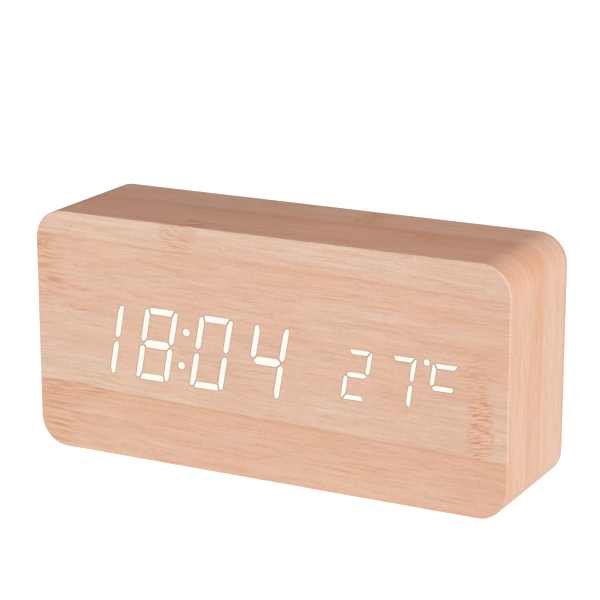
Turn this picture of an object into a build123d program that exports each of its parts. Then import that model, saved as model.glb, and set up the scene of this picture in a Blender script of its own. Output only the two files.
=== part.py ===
"""Digital LED desk clock in a wood-look case, all sizes in millimetres.

A rounded block 150 mm wide stands on its long side. A fibreboard frame and front board
carry a bamboo-look film, and light guides in a moulded light box show the time and the
temperature through the film. A moulded cover with three buttons, a power socket, air
slots and a three-cell battery well closes the back.

The frame of the part: +X to the right seen from the front, +Y to the rear, +Z up. The
origin is at the middle of the case's underside.
"""

import os
from math import hypot, radians, tan

from build123d import *

# Outer case
case_width = 150.0
case_height = 72.0
case_depth = 41.0
corner_radius = 8.7
film_thickness = 0.5
film_edge_radius = 0.35
front_board_thickness = 3.0
frame_wall = 6.5
frame_inner_radius = 9.0
largest_corner_share = 0.499
rim_width = 2.6
rim_inset = 1.0

# Back cover and its film
cover_thickness = 2.5
cover_gap = 0.2
back_film_thickness = 0.3
back_film_margin = 0.3
well_wall = 1.4
cut_overrun = 1.0

# Screws: the wood screws of the cover and the small ones of the boards
cover_screw_inset = 7.6
cover_screw_shank = 2.6
cover_screw_head = 4.8
cover_screw_head_height = 1.2
cover_screw_length = 8.0
cover_screw_sink = 0.1
board_screw_shank = 2.0
board_screw_head = 3.6
board_screw_head_height = 1.3
board_screw_grip = 4.5
display_screw_grip = 2.2
screw_hole_gap = 0.2
screw_thread_gap = 0.02
driver_slot_share = 0.62
driver_slot_width = 0.7
driver_slot_depth = 0.6

# Readout: sloped bars, spread over the face by shares of its width and height
readout_drop = 0.25
time_slope_degrees = 10.0
time_first_share = -0.35
time_pitch_share = 0.12
time_width_share = 0.061
time_reach_share = 0.139
time_stroke = 1.78
time_level_stroke = 1.95
time_middle_stroke = 2.42
time_corner_run = 1.2
time_corner_drop = 0.75
time_bar_gap = 0.38
time_tip_gap = 0.12
colon_diameter = 2.35
colon_reach = 5.05
temperature_slope_degrees = 8.5
temperature_first_share = 0.1973
temperature_pitch_share = 0.089
temperature_width_share = 0.0427
temperature_reach_share = 0.0922
temperature_stroke = 1.35
temperature_level_stroke = 1.42
temperature_middle_stroke = 1.45
temperature_corner_run = 0.5
temperature_corner_drop = 0.5
temperature_bar_gap = 0.34
temperature_tip_gap = 0.08
letter_place_share = 0.3707
letter_width_share = 0.0453
letter_reach_share = 0.0886
letter_drop = 0.3
degree_diameter = 1.9
degree_side_gap = 2.44
degree_rise = 0.57
time_shown = ["one", "eight", "zero", "four"]
temperature_shown = ["two", "seven"]
letter_shown = "celsius"

# Light box behind the readout, its light guides and its board
window_margin = 2.4
window_radius = 3.0
window_gap = 0.25
flange_width = 4.4
flange_thickness = 2.0
display_side_gap = 0.8
guide_depth = 1.8
guide_gap = 0.06
well_taper_degrees = 3.0
chip_length = 1.5
chip_width = 0.8
chip_height = 0.6
chip_pocket_gap = 0.15
board_thickness = 1.6
board_corner_radius = 1.5
display_screw_columns = 3

# Parts on the rear of the display board
controller_length = 18.0
controller_width = 7.5
controller_height = 2.3
controller_pin_pitch = 1.27
controller_pin_width = 0.4
controller_pin_reach = 1.4
controller_pins = 14
timer_length = 5.0
timer_width = 4.0
timer_height = 1.5
crystal_diameter = 3.0
crystal_length = 8.0
buzzer_diameter = 12.0
buzzer_height = 6.5
buzzer_hole = 2.0
coin_diameter = 20.0
coin_thickness = 3.2
coin_edge_cut = 0.5
holder_wall = 1.2
holder_floor = 0.6
holder_gap = 0.1
holder_notch_width = 10.0
capacitor_diameter = 5.0
capacitor_height = 7.0
chip_resistor_length = 2.0
chip_resistor_width = 1.25
chip_resistor_height = 0.6
chip_resistor_count = 8
socket_length = 7.5
socket_width = 5.0
socket_height = 4.0
component_spacing = 4.0
component_gap = 1.2

# Battery cells, their contacts and their well
cell_count = 3
cell_diameter = 10.5
cell_length = 43.7
cell_nub_diameter = 3.8
cell_nub_length = 0.8
cell_edge_radius = 0.5
cell_gap = 0.5
cell_lift = 0.3
contact_thickness = 0.3
contact_width = 7.0
contact_height = 8.0
contact_dimple_height = 0.6
contact_dimple_diameter = 2.6
contact_bow_height = 3.0
contact_bow_width = 5.0
contact_tab_width = 3.0
contact_tab_reach = 3.5
contact_slot_gap = 0.15
cradle_rib_width = 1.4

# Battery door
door_thickness = 1.6
door_gap = 0.25
door_corner_radius = 1.5
door_ledge = 1.8
door_latch_zone = 5.8
door_rib_height = 0.9
door_rib_width = 1.2
tongue_width = 6.0
tongue_length = 2.0
tongue_thickness = 1.0
tongue_spacing = 32.0
tongue_gap = 0.2
latch_width = 11.0
latch_arm = 0.9
latch_reach = 4.2
latch_bend_radius = 1.25
latch_straight = 0.1
latch_pad = 2.0
latch_slit = 0.5
latch_room = 0.4
latch_grip_height = 0.25
latch_grip_width = 0.4
latch_grip_length = 8.8
latch_grip_count = 3
scoop_radius = 6.5
scoop_depth = 1.4
scoop_reach = 3.2

# Buttons, their switches and the key board
button_shares = (0.80, 0.62, 0.44)
button_diameter = 6.4
button_gap = 0.2
button_proud = 0.7
button_edge_radius = 0.5
button_flange_width = 0.7
button_flange_thickness = 1.0
button_travel = 0.5
button_free_play = 0.1
button_mark_size = 2.4
button_mark_depth = 0.2
plunger_diameter = 3.4
plunger_height = 1.2
plunger_seat = 1.0
plunger_gap = 0.06
switch_size = 6.0
switch_height = 3.4
switch_rim_height = 0.3
key_board_width = 20.0
key_board_margin = 1.5
key_post_diameter = 5.0
key_post_inset = 0.5

# Power port and microphone on the key board
port_share = 0.15
port_width = 7.5
port_thickness = 2.6
port_wall = 0.3
port_corner_cut = 0.7
port_tongue_width = 4.0
port_tongue_thickness = 0.7
port_slot_gap = 0.35
port_floor = 2.5
microphone_share = 0.28
microphone_diameter = 6.0
microphone_length = 4.6
microphone_hole = 1.4
microphone_port = 2.2
microphone_port_depth = 0.4

# Sensor board behind the air slots
sensor_rise = 8.0
sensor_board_width = 13.0
sensor_board_height = 18.0
sensor_post_diameter = 4.4
sensor_post_side = 6.3
sensor_board_setback = 6.0
sensor_bead_diameter = 2.6
sensor_lead_diameter = 0.5
sensor_lead_length = 3.2
sensor_lead_spacing = 1.4
air_slot_width = 1.4
air_slot_length = 12.0
air_slot_pitch = 2.8
air_slot_count = 5

# Wiring inside the case
lead_diameter = 1.2
lead_run_share = 0.45
lead_bend_share = 0.45
lead_stagger = 2.2
ribbon_width = 12.7
ribbon_thickness = 0.9
ribbon_bend_radius = 3.0
ribbon_straight = 3.6
ribbon_drop = 8.0
ribbon_socket_height = 2.5
ribbon_socket_width = 5.0
ribbon_socket_side = 1.25

# Depths through the case, from the face to the rear rim
face_y = -case_depth / 2
rear_y = case_depth / 2
board_front_y = face_y + film_thickness
board_rear_y = board_front_y + front_board_thickness
light_box_rear_y = board_rear_y + flange_thickness
display_board_rear_y = light_box_rear_y + board_thickness
frame_rear_y = rear_y - film_thickness
cover_outer_y = rear_y - rim_inset
cover_rear_y = cover_outer_y - back_film_thickness
cover_front_y = cover_rear_y - cover_thickness
door_seat_y = cover_outer_y - door_thickness

# The readout on the face
mid_height = case_height / 2
readout_height = mid_height - readout_drop
time_first_x = case_width * time_first_share
time_pitch = case_width * time_pitch_share
time_stroke_width = case_width * time_width_share
time_stroke_reach = case_height * time_reach_share
temperature_first_x = case_width * temperature_first_share
temperature_pitch = case_width * temperature_pitch_share
temperature_stroke_width = case_width * temperature_width_share
temperature_stroke_reach = case_height * temperature_reach_share
letter_x = case_width * letter_place_share
letter_height = readout_height - letter_drop
letter_stroke_width = case_width * letter_width_share
letter_stroke_reach = case_height * letter_reach_share

# The hollow of the case frame
frame_inset = film_thickness + frame_wall
hollow_width = case_width - 2 * frame_inset
hollow_height = case_height - 2 * frame_inset

# The battery well, round its cells
cell_pitch = cell_diameter + cell_gap
well_height = cell_count * cell_pitch + cell_gap
positive_end = contact_thickness + contact_dimple_height
negative_end = contact_thickness + contact_bow_height
cell_full_length = cell_length + cell_nub_length
well_width = cell_full_length + positive_end + negative_end
well_low = mid_height - (well_height + door_latch_zone - door_ledge) / 2
well_high = well_low + well_height
well_floor_y = door_seat_y - cell_lift - cell_diameter - cell_gap
well_front_y = well_floor_y - well_wall
cell_axis_y = door_seat_y - cell_lift - cell_diameter / 2
door_low = well_low - door_ledge
door_high = well_high + door_latch_zone
door_width = well_width + 2 * door_ledge
cell_heights = [well_low + cell_gap + cell_diameter / 2 + n * cell_pitch for n in range(cell_count)]

# The key board, held off the cover by the buttons' stack
flange_front_y = cover_front_y - button_free_play - button_flange_thickness
switch_top_y = flange_front_y - plunger_height
key_board_rear_y = switch_top_y - switch_height
key_board_front_y = key_board_rear_y - board_thickness
button_heights = [frame_inset + share * hollow_height for share in button_shares]
port_height = frame_inset + port_share * hollow_height
microphone_height = frame_inset + microphone_share * hollow_height
key_board_low = frame_inset + key_board_margin
key_board_high = frame_inset + hollow_height - key_board_margin
key_column_x = -(well_width / 2 + well_wall + hollow_width / 2) / 2
key_post_side = (key_board_width - key_post_diameter) / 2 - key_post_inset
key_screw_heights = (
    (button_heights[0] + button_heights[1]) / 2,
    (button_heights[2] + microphone_height) / 2,
)
ribbon_key_z = sum(key_screw_heights) / 2
sensor_x = -key_column_x
sensor_height = mid_height + sensor_rise
sensor_board_rear_y = cover_front_y - sensor_board_setback
sensor_board_front_y = sensor_board_rear_y - board_thickness


def rounded(width, height, radius, x=0, z=mid_height):
    """A rounded rectangle on the x and z axes, centred at (x, z)."""
    largest = largest_corner_share * min(width, height)
    return Pos(x, z) * RectangleRounded(width, height, min(radius, largest))


def case_outline(inset):
    """The case's front outline, drawn in by a distance all round."""
    return rounded(case_width - 2 * inset, case_height - 2 * inset, corner_radius - inset)


def grown(face, distance):
    """A face drawn out by a distance all round, with its corners kept sharp."""
    return offset(face, distance, kind=Kind.INTERSECTION)


def slab(outline, front, rear):
    """An outline on x and z made solid between two depths."""
    plane = Plane(origin=(0, rear, 0), x_dir=(1, 0, 0), z_dir=(0, -1, 0))
    return extrude(plane * outline, rear - front)


def block(x_span, y_span, z_span):
    """A box between two ends on each axis."""
    ends = (x_span, y_span, z_span)
    centre = [(low + high) / 2 for low, high in ends]
    return Pos(*centre) * Box(*(high - low for low, high in ends))


def rod(x, z, diameter, front, rear):
    """A round bar along y at (x, z)."""
    return slab(Pos(x, z) * Circle(diameter / 2), front, rear)


def turned(x, z, points):
    """A solid of revolution about the line along y at (x, z), from (radius, y) points."""
    profile = make_face(Polyline(*((x + radius, y) for radius, y in points), close=True))
    return Pos(0, 0, z) * revolve(profile, Axis((x, 0, 0), (0, 1, 0)))


def bar_outlines(sizes):
    """The seven upright bars of one figure round (0, 0), named a to g as on any such readout.

    The top bar ends on a steep line from the inner corner up to the outline. The side bar
    goes up past it to a cut corner, and half a gap lies on each side of that line. Beside
    the middle bar the side bars end in points, and its tips reach out between them.
    """
    width, reach, stroke, level_stroke, middle_stroke, run, drop, gap, tip_gap = sizes
    side, top = width / 2, reach
    half, level = stroke / 2, level_stroke / 2
    corner_x = side + half - run
    end = [(corner_x - gap / 2, top + level), (side - half - gap / 2, top - level)]
    top_bar = end + [(-x, z) for x, z in reversed(end)]
    side_bar = [
        (side + half, top + level - drop),
        (corner_x + gap / 2, top + level - drop * gap / (2 * run)),
        (side - half, top - level - gap),
        (side - half, half + gap),
        (side, gap),
        (side + half, half + gap),
    ]
    tip, shoulder = side - tip_gap, side - tip_gap - middle_stroke / 2
    middle = [(tip, 0), (shoulder, middle_stroke / 2), (-shoulder, middle_stroke / 2)]
    middle += [(-x, -z) for x, z in middle]
    return {
        "a": top_bar,
        "b": side_bar,
        "c": [(x, -z) for x, z in side_bar],
        "d": [(x, -z) for x, z in top_bar],
        "e": [(-x, -z) for x, z in side_bar],
        "f": [(-x, z) for x, z in side_bar],
        "g": middle,
    }


bars_lit = {
    "zero": "abcdef",
    "one": "bc",
    "two": "abdeg",
    "three": "abcdg",
    "four": "bcfg",
    "five": "acdfg",
    "six": "acdefg",
    "seven": "abc",
    "eight": "abcdefg",
    "nine": "abcdfg",
    "celsius": "afg",
    "fahrenheit": "aefg",
}
time_strokes = (
    time_stroke,
    time_level_stroke,
    time_middle_stroke,
    time_corner_run,
    time_corner_drop,
    time_bar_gap,
    time_tip_gap,
)
temperature_strokes = (
    temperature_stroke,
    temperature_level_stroke,
    temperature_middle_stroke,
    temperature_corner_run,
    temperature_corner_drop,
    temperature_bar_gap,
    temperature_tip_gap,
)
time_bars = bar_outlines((time_stroke_width, time_stroke_reach, *time_strokes))
temperature_bars = bar_outlines(
    (temperature_stroke_width, temperature_stroke_reach, *temperature_strokes)
)
letter_bars = bar_outlines((letter_stroke_width, letter_stroke_reach, *temperature_strokes))


def sloped(point, centre, slope_degrees):
    """A point of a figure round its centre, leaned to the right with its height."""
    lean = tan(radians(slope_degrees)) * point[1]
    return centre[0] + point[0] + lean, centre[1] + point[1]


def figures_shown():
    """Every figure of the readout: (group, bars, figure, centre, slope)."""
    shown = []
    for place, figure in enumerate(time_shown):
        centre = (time_first_x + place * time_pitch, readout_height)
        shown.append(("time", time_bars, figure, centre, time_slope_degrees))
    for place, figure in enumerate(temperature_shown):
        centre = (temperature_first_x + place * temperature_pitch, readout_height)
        shown.append(("temperature", temperature_bars, figure, centre, temperature_slope_degrees))
    centre = (letter_x, letter_height)
    shown.append(("temperature", letter_bars, letter_shown, centre, temperature_slope_degrees))
    return shown


def readout_windows():
    """Every light window of the readout: (group, lit, centre, outline face)."""
    found = []
    for group, bars, figure, centre, slope_degrees in figures_shown():
        for name, points in bars.items():
            corners = [sloped(point, centre, slope_degrees) for point in points]
            face = make_face(Polyline(*corners, close=True))
            middle = [sum(values) / len(corners) for values in zip(*corners)]
            found.append((group, name in bars_lit[figure], middle, face))
    colon_centre = (time_first_x + 1.5 * time_pitch, readout_height)
    for rise in (colon_reach, -colon_reach):
        middle = sloped((0, rise), colon_centre, time_slope_degrees)
        found.append(("time", True, middle, Pos(*middle) * Circle(colon_diameter / 2)))
    degree = (-letter_stroke_width / 2 - degree_side_gap, letter_stroke_reach + degree_rise)
    middle = sloped(degree, (letter_x, letter_height), temperature_slope_degrees)
    found.append(("temperature", True, middle, Pos(*middle) * Circle(degree_diameter / 2)))
    return found


windows = readout_windows()


def figure_reach(width, stroke, reach, slope_degrees):
    """How far a leaning figure reaches to each side of its middle."""
    return width / 2 + stroke / 2 + tan(radians(slope_degrees)) * (reach + stroke / 2)


# The light box's window, round all the light windows
time_figure_reach = figure_reach(
    time_stroke_width, time_stroke, time_stroke_reach, time_slope_degrees
)
letter_figure_reach = figure_reach(
    letter_stroke_width, temperature_stroke, letter_stroke_reach, temperature_slope_degrees
)
window_left = time_first_x - time_figure_reach - window_margin
window_right = letter_x + letter_figure_reach + window_margin
window_x = (window_left + window_right) / 2
window_width = window_right - window_left
window_height = 2 * (time_stroke_reach + time_level_stroke / 2 + window_margin)

# The display's flange and board, as wide as the case's hollow lets them be
flange_full_width = hollow_width - 2 * display_side_gap
flange_full_height = window_height + 2 * flange_width


def window_outline(extra):
    """The front board's window, grown by a distance all round."""
    width = window_width + 2 * extra
    return rounded(width, window_height + 2 * extra, window_radius + extra, window_x, readout_height)


def display_outline():
    """The outline that the light box's flange and the display board share."""
    return rounded(
        flange_full_width, flange_full_height, board_corner_radius, 0, readout_height
    )


def display_screw_places():
    """The screws of the display, in a row above and a row below the readout."""
    side = (flange_full_width - flange_width) / 2
    rise = (flange_full_height - flange_width) / 2
    step = 2 * side / (display_screw_columns - 1)
    return [
        (column * step - side, readout_height + row * rise)
        for row in (-1, 1)
        for column in range(display_screw_columns)
    ]


def cover_screw_places():
    """The cover's screws, one at each corner."""
    side = case_width / 2 - cover_screw_inset
    rise = mid_height - cover_screw_inset
    return [(sx * side, mid_height + sz * rise) for sx in (-1, 1) for sz in (-1, 1)]


def key_screw_places():
    """The key board's two screws, on opposite sides of the button column."""
    return [
        (key_column_x - key_post_side, key_screw_heights[0]),
        (key_column_x + key_post_side, key_screw_heights[1]),
    ]


def sensor_screw_places():
    """The sensor board's two screws, above and below the air slots' middle."""
    return [(sensor_x, sensor_height + side * sensor_post_side) for side in (-1, 1)]


def film_windows(grow):
    """Cutters for the lit windows of the front film."""
    return [
        slab(grown(face, grow), face_y - cut_overrun, board_front_y + cut_overrun)
        for group, lit, middle, face in windows
        if lit
    ]


def front_film():
    """The face: a bamboo-look film with softened edges, open over the lit bars."""
    film = slab(case_outline(0), face_y, board_front_y)
    film = fillet(film.edges().group_by(Axis.Y)[0], film_edge_radius)
    return film - film_windows(guide_gap)


def side_film_whole():
    """The film round the sides, with a lip turned in over the rear rim."""
    outer = slab(case_outline(0), board_front_y, rear_y)
    outer = fillet(outer.edges().group_by(Axis.Y)[-1], film_edge_radius)
    inner = slab(case_outline(film_thickness), board_front_y, frame_rear_y)
    mouth = slab(case_outline(film_thickness + rim_width), frame_rear_y, rear_y + cut_overrun)
    return outer - inner - mouth


def base_zone():
    """The flat underside between the corners, as high as the film's rear lip."""
    side = case_width / 2 - corner_radius
    return block((-side, side), (board_front_y, rear_y), (0, film_thickness + rim_width))


def front_board():
    """The fibreboard behind the face, with the window of the readout."""
    board = slab(case_outline(film_thickness), board_front_y, board_rear_y)
    board -= slab(window_outline(0), board_front_y - cut_overrun, board_rear_y + cut_overrun)
    pilot = board_screw_shank + 2 * screw_thread_gap
    depth = display_screw_grip + screw_hole_gap
    holes = [
        rod(x, z, pilot, board_rear_y - depth, board_rear_y) for x, z in display_screw_places()
    ]
    return board - holes


def case_frame():
    """The fibreboard ring, routed out, with a rebate for the cover and four pilot holes."""
    frame = slab(case_outline(film_thickness), board_rear_y, frame_rear_y)
    hollow = rounded(hollow_width, hollow_height, frame_inner_radius)
    frame -= slab(hollow, board_rear_y - cut_overrun, rear_y)
    frame -= slab(case_outline(film_thickness + rim_width), cover_front_y, rear_y)
    pilot = cover_screw_shank + 2 * screw_thread_gap
    bottom = cover_outer_y - cover_screw_sink - cover_screw_length - screw_hole_gap
    holes = [rod(x, z, pilot, bottom, cover_front_y) for x, z in cover_screw_places()]
    return frame - holes


def countersunk_cut(x, z, gap):
    """The countersunk screw's own shape, grown by a gap, for cutting its seat."""
    top = cover_outer_y - cover_screw_sink
    neck = top - cover_screw_head_height
    head, shank = cover_screw_head / 2 + gap, cover_screw_shank / 2 + gap
    bottom = cover_front_y - cut_overrun
    above = cover_outer_y + cut_overrun
    points = [(0, bottom), (shank, bottom), (shank, neck), (head, top), (head, above), (0, above)]
    return turned(x, z, points)


def cover_screws():
    """Four countersunk wood screws with crossed driver slots."""
    top = cover_outer_y - cover_screw_sink
    neck = top - cover_screw_head_height
    head, shank = cover_screw_head / 2, cover_screw_shank / 2
    tip = top - cover_screw_length
    taper = tip + cover_screw_shank
    screws = []
    for x, z in cover_screw_places():
        points = [(0, tip), (shank, taper), (shank, neck), (head, top), (0, top)]
        screw = turned(x, z, points)
        for turn in (0, 90):
            slot_length = cover_screw_head * driver_slot_share
            slot = Box(slot_length, 2 * driver_slot_depth, driver_slot_width)
            screw -= Pos(x, top, z) * Rot(0, turn, 0) * slot
        screws.append(screw)
    return screws


def pan_screw(x, z, seat, grip, driven):
    """A small pan-head screw: its head stands on seat and its shank points along driven in y."""
    low, high = sorted((seat, seat + driven * grip))
    shank = rod(x, z, board_screw_shank, low, high)
    low, high = sorted((seat, seat - driven * board_screw_head_height))
    head = rod(x, z, board_screw_head, low, high)
    top = seat - driven * board_screw_head_height
    slot = Pos(x, top, z) * Box(board_screw_head * 2, 2 * driver_slot_depth, driver_slot_width)
    return shank + head - slot


def display_screws():
    """The screws that hold the display board and the light box to the front board."""
    grip = board_thickness + flange_thickness + display_screw_grip
    return [pan_screw(x, z, display_board_rear_y, grip, -1) for x, z in display_screw_places()]


def key_screws():
    """The key board's screws, driven rearwards into the cover's posts."""
    grip = board_thickness + board_screw_grip
    return [pan_screw(x, z, key_board_front_y, grip, 1) for x, z in key_screw_places()]


def sensor_screws():
    """The sensor board's screws, driven rearwards into their posts."""
    grip = board_thickness + board_screw_grip
    return [pan_screw(x, z, sensor_board_front_y, grip, 1) for x, z in sensor_screw_places()]


def screw_clearances(places, front, rear):
    """Clearance holes for the board screws through a board or flange."""
    size = board_screw_shank + 2 * screw_hole_gap
    return [rod(x, z, size, front - cut_overrun, rear + cut_overrun) for x, z in places]


def light_box():
    """The moulded light box: one funnel for each bar, straight at its mouth, then narrowing
    to a pocket over its light chip."""
    box = slab(window_outline(-window_gap), board_front_y, board_rear_y)
    box += slab(display_outline(), board_rear_y, light_box_rear_y)
    seat_y = board_front_y + guide_depth + guide_gap
    pocket_y = light_box_rear_y - chip_height - chip_pocket_gap
    cutters = []
    for group, lit, (x, z), face in windows:
        mouth = grown(face, guide_gap)
        cutters.append(slab(mouth, board_front_y - cut_overrun, seat_y))
        plane = Plane(origin=(0, seat_y, 0), x_dir=(-1, 0, 0), z_dir=(0, 1, 0))
        seat = plane * mirror(mouth, Plane.YZ)
        cutters.append(extrude(seat, pocket_y - seat_y, taper=well_taper_degrees))
        pocket_end = light_box_rear_y + cut_overrun
        cutters.append(chip_box(x, z, chip_pocket_gap, pocket_y, pocket_end))
    box -= cutters
    return box - screw_clearances(display_screw_places(), board_rear_y, light_box_rear_y)


def chip_box(x, z, grow, front, rear):
    """The space of one light chip at (x, z), grown to each side."""
    half_length, half_width = chip_length / 2 + grow, chip_width / 2 + grow
    span_x = (x - half_length, x + half_length)
    span_z = (z - half_width, z + half_width)
    return block(span_x, (front, rear), span_z)


def light_guides(wanted_group, wanted_lit):
    """The clear bars in the funnels' mouths: lit ones come through the film to the face."""
    front = face_y if wanted_lit else board_front_y
    return [
        slab(face, front, board_front_y + guide_depth)
        for group, lit, middle, face in windows
        if lit == wanted_lit and group in wanted_group
    ]


def light_chips():
    """One light chip behind each bar."""
    rear = light_box_rear_y
    return [chip_box(x, z, 0, rear - chip_height, rear) for group, lit, (x, z), face in windows]


def display_board():
    """The circuit board behind the light box."""
    board = slab(display_outline(), light_box_rear_y, display_board_rear_y)
    return board - screw_clearances(display_screw_places(), light_box_rear_y, display_board_rear_y)


# The parts on the display board stand in a row, from the left
ribbon_x = key_column_x
buzzer_x = ribbon_x + ribbon_width / 2 + component_spacing + buzzer_diameter / 2
controller_x = buzzer_x + buzzer_diameter / 2 + component_spacing + controller_length / 2
timer_x = controller_x + controller_length / 2 + component_spacing + timer_length / 2
holder_outer = coin_diameter + 2 * (holder_gap + holder_wall)
holder_x = timer_x + timer_length / 2 + component_spacing + holder_outer / 2
capacitor_x = holder_x + holder_outer / 2 + component_spacing / 2 + capacitor_diameter / 2
crystal_z = readout_height + controller_width
resistor_z = readout_height + controller_width / 2 + controller_pin_reach
resistor_z += component_gap + chip_resistor_length / 2
socket_z = readout_height - flange_full_height / 2 + flange_width + socket_width / 2
battery_socket_x = controller_x
sensor_socket_x = controller_x + socket_length + component_spacing


def on_display(outline, height):
    """Something that stands on the display board's rear."""
    return slab(outline, display_board_rear_y, display_board_rear_y + height)


def controller():
    """The clock's controller, a flat black chip with two rows of pins."""
    outline = Pos(controller_x, readout_height) * Rectangle(controller_length, controller_width)
    chip = on_display(outline, controller_height)
    pin_span = controller_width + 2 * controller_pin_reach
    first = controller_x - (controller_pins - 1) * controller_pin_pitch / 2
    for n in range(controller_pins):
        pin = Pos(first + n * controller_pin_pitch, readout_height)
        chip += on_display(pin * Rectangle(controller_pin_width, pin_span), controller_pin_width)
    return chip


def timer_chip():
    """The small chip that keeps the time."""
    outline = Pos(timer_x, readout_height) * Rectangle(timer_length, timer_width)
    return on_display(outline, timer_height)


def crystal():
    """The can of the timing crystal, lying on the board above the timer."""
    radius = crystal_diameter / 2
    centre = Pos(timer_x, display_board_rear_y + radius, crystal_z + radius)
    return centre * Rot(0, 90, 0) * Cylinder(radius, crystal_length)


def buzzer():
    """The alarm's sounder, a round can with a hole in its end."""
    top = display_board_rear_y + buzzer_height
    can = rod(buzzer_x, readout_height, buzzer_diameter, display_board_rear_y, top)
    return can - rod(buzzer_x, readout_height, buzzer_hole, top - buzzer_hole, top + cut_overrun)


def coin_holder():
    """The open ring that holds the back-up cell flat on the board."""
    centre = Pos(holder_x, readout_height)
    ring = on_display(centre * Circle(holder_outer / 2), holder_floor + coin_thickness)
    inside = centre * Circle(coin_diameter / 2 + holder_gap)
    floor_y = display_board_rear_y + holder_floor
    ring -= slab(inside, floor_y, floor_y + coin_thickness + cut_overrun)
    notch = Rectangle(holder_notch_width, holder_outer / 2)
    notch = Pos(holder_x, readout_height + holder_outer / 2) * notch
    return ring - slab(notch, floor_y, floor_y + coin_thickness + cut_overrun)


def coin_cell():
    """The back-up cell that keeps the time when the power is off."""
    floor_y = display_board_rear_y + holder_floor
    cell = rod(holder_x, readout_height, coin_diameter, floor_y, floor_y + coin_thickness)
    return chamfer(cell.edges().group_by(Axis.Y)[-1], coin_edge_cut)


def capacitor():
    """The smoothing capacitor, a small upright can."""
    top = display_board_rear_y + capacitor_height
    return rod(capacitor_x, readout_height, capacitor_diameter, display_board_rear_y, top)


def chip_resistors():
    """The row of chip resistors under the controller."""
    pitch = controller_length / chip_resistor_count
    first = controller_x - (chip_resistor_count - 1) * pitch / 2
    outline = Rectangle(chip_resistor_width, chip_resistor_length)
    return [
        on_display(Pos(first + n * pitch, resistor_z) * outline, chip_resistor_height)
        for n in range(chip_resistor_count)
    ]


def wire_socket(x):
    """A small socket on the display board for a pair of leads."""
    return on_display(Pos(x, socket_z) * Rectangle(socket_length, socket_width), socket_height)


def ribbon_sockets():
    """The ribbon's two sockets, on the key board's front and the display board's rear."""
    outline = Rectangle(ribbon_width + 2 * ribbon_socket_side, ribbon_socket_width)
    high = Pos(ribbon_x, ribbon_key_z) * outline
    low = Pos(ribbon_x, ribbon_key_z - ribbon_drop) * outline
    return [
        slab(high, key_board_front_y - ribbon_socket_height, key_board_front_y),
        on_display(low, ribbon_socket_height),
    ]


def ribbon_cable():
    """The flat cable from the key board to the display board, with one gentle step."""
    start = key_board_front_y - ribbon_socket_height
    end = display_board_rear_y + ribbon_socket_height
    low_z = ribbon_key_z - ribbon_drop
    route = FilletPolyline(
        (start, ribbon_key_z),
        (start - ribbon_straight, ribbon_key_z),
        (end + ribbon_straight, low_z),
        (end, low_z),
        radius=ribbon_bend_radius,
    )
    section = trace(route, ribbon_thickness)
    plane = Plane(origin=(ribbon_x - ribbon_width / 2, 0, 0), x_dir=(0, 1, 0), z_dir=(1, 0, 0))
    return extrude(plane * section, ribbon_width)


def door_opening(grow, extra_top=0):
    """The outline of the battery door, grown all round."""
    height = door_high - door_low + 2 * grow + extra_top
    centre_z = (door_low + door_high + extra_top) / 2
    return rounded(door_width + 2 * grow, height, door_corner_radius + grow, 0, centre_z)


def scoop(depth):
    """A shallow dish above the latch, for a fingertip."""
    rise = scoop_radius - depth
    ball = Pos(0, cover_outer_y + rise, door_high) * Sphere(scoop_radius)
    reach = block(
        (-scoop_radius, scoop_radius),
        (cover_outer_y - depth, cover_outer_y + cut_overrun),
        (door_high - door_gap, door_high + scoop_reach),
    )
    return ball & reach


def air_slots(grow):
    """The row of air slots in front of the temperature sensor."""
    first = sensor_x - (air_slot_count - 1) * air_slot_pitch / 2
    shape = Rot(0, 0, 90) * SlotOverall(air_slot_length + 2 * grow, air_slot_width + 2 * grow)
    return [Pos(first + n * air_slot_pitch, sensor_height) * shape for n in range(air_slot_count)]


def port_outline(grow):
    """The power socket's outline, a flat slot with its two lower corners cut."""
    half_width, half = port_width / 2 + grow, port_thickness / 2 + grow
    cut = port_corner_cut
    points = [
        (-half_width, half),
        (half_width, half),
        (half_width, cut - half),
        (half_width - cut, -half),
        (cut - half_width, -half),
        (-half_width, cut - half),
    ]
    return Pos(key_column_x, port_height) * make_face(Polyline(*points, close=True))


def cover_openings(grow):
    """Every opening through the cover's plate but the door's, grown for the film."""
    button = Circle(button_diameter / 2 + button_gap + grow)
    faces = [Pos(key_column_x, z) * button for z in button_heights]
    faces.append(port_outline(port_slot_gap + grow))
    faces.append(Pos(key_column_x, microphone_height) * Circle(microphone_hole / 2 + grow))
    faces += air_slots(grow)
    return [slab(f, cover_front_y - cut_overrun, cover_outer_y + cut_overrun) for f in faces]


def tongue_places():
    """The middles of the door's two tongues, along x."""
    return (-tongue_spacing / 2, tongue_spacing / 2)


def cell_cylinders(grow):
    """The cells' round space in the well, for shaping the cradle ribs."""
    radius = cell_diameter / 2 + grow
    return [
        Pos(0, cell_axis_y, z) * Rot(0, 90, 0) * Cylinder(radius, well_width)
        for z in cell_heights
    ]


def contact_slots():
    """Slots in the well's floor for the two solder tabs."""
    slots = []
    for side, z in tab_places():
        outer = side * well_width / 2
        inner = outer - side * (contact_thickness + contact_slot_gap)
        low, high = sorted((outer, inner))
        half = contact_tab_width / 2 + contact_slot_gap
        span_y = (well_front_y - cut_overrun, well_floor_y + cut_overrun)
        slots.append(block((low, high), span_y, (z - half, z + half)))
    return slots


def tab_places():
    """Which end of the well, and at what height, each solder tab goes through."""
    return [(positive_side(cell_count - 1), cell_heights[-1]), (-positive_side(0), cell_heights[0])]


def positive_side(n):
    """The end of the well at which cell n has its nub: it swaps from cell to cell."""
    return 1 if (cell_count - 1 - n) % 2 == 0 else -1


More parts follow.
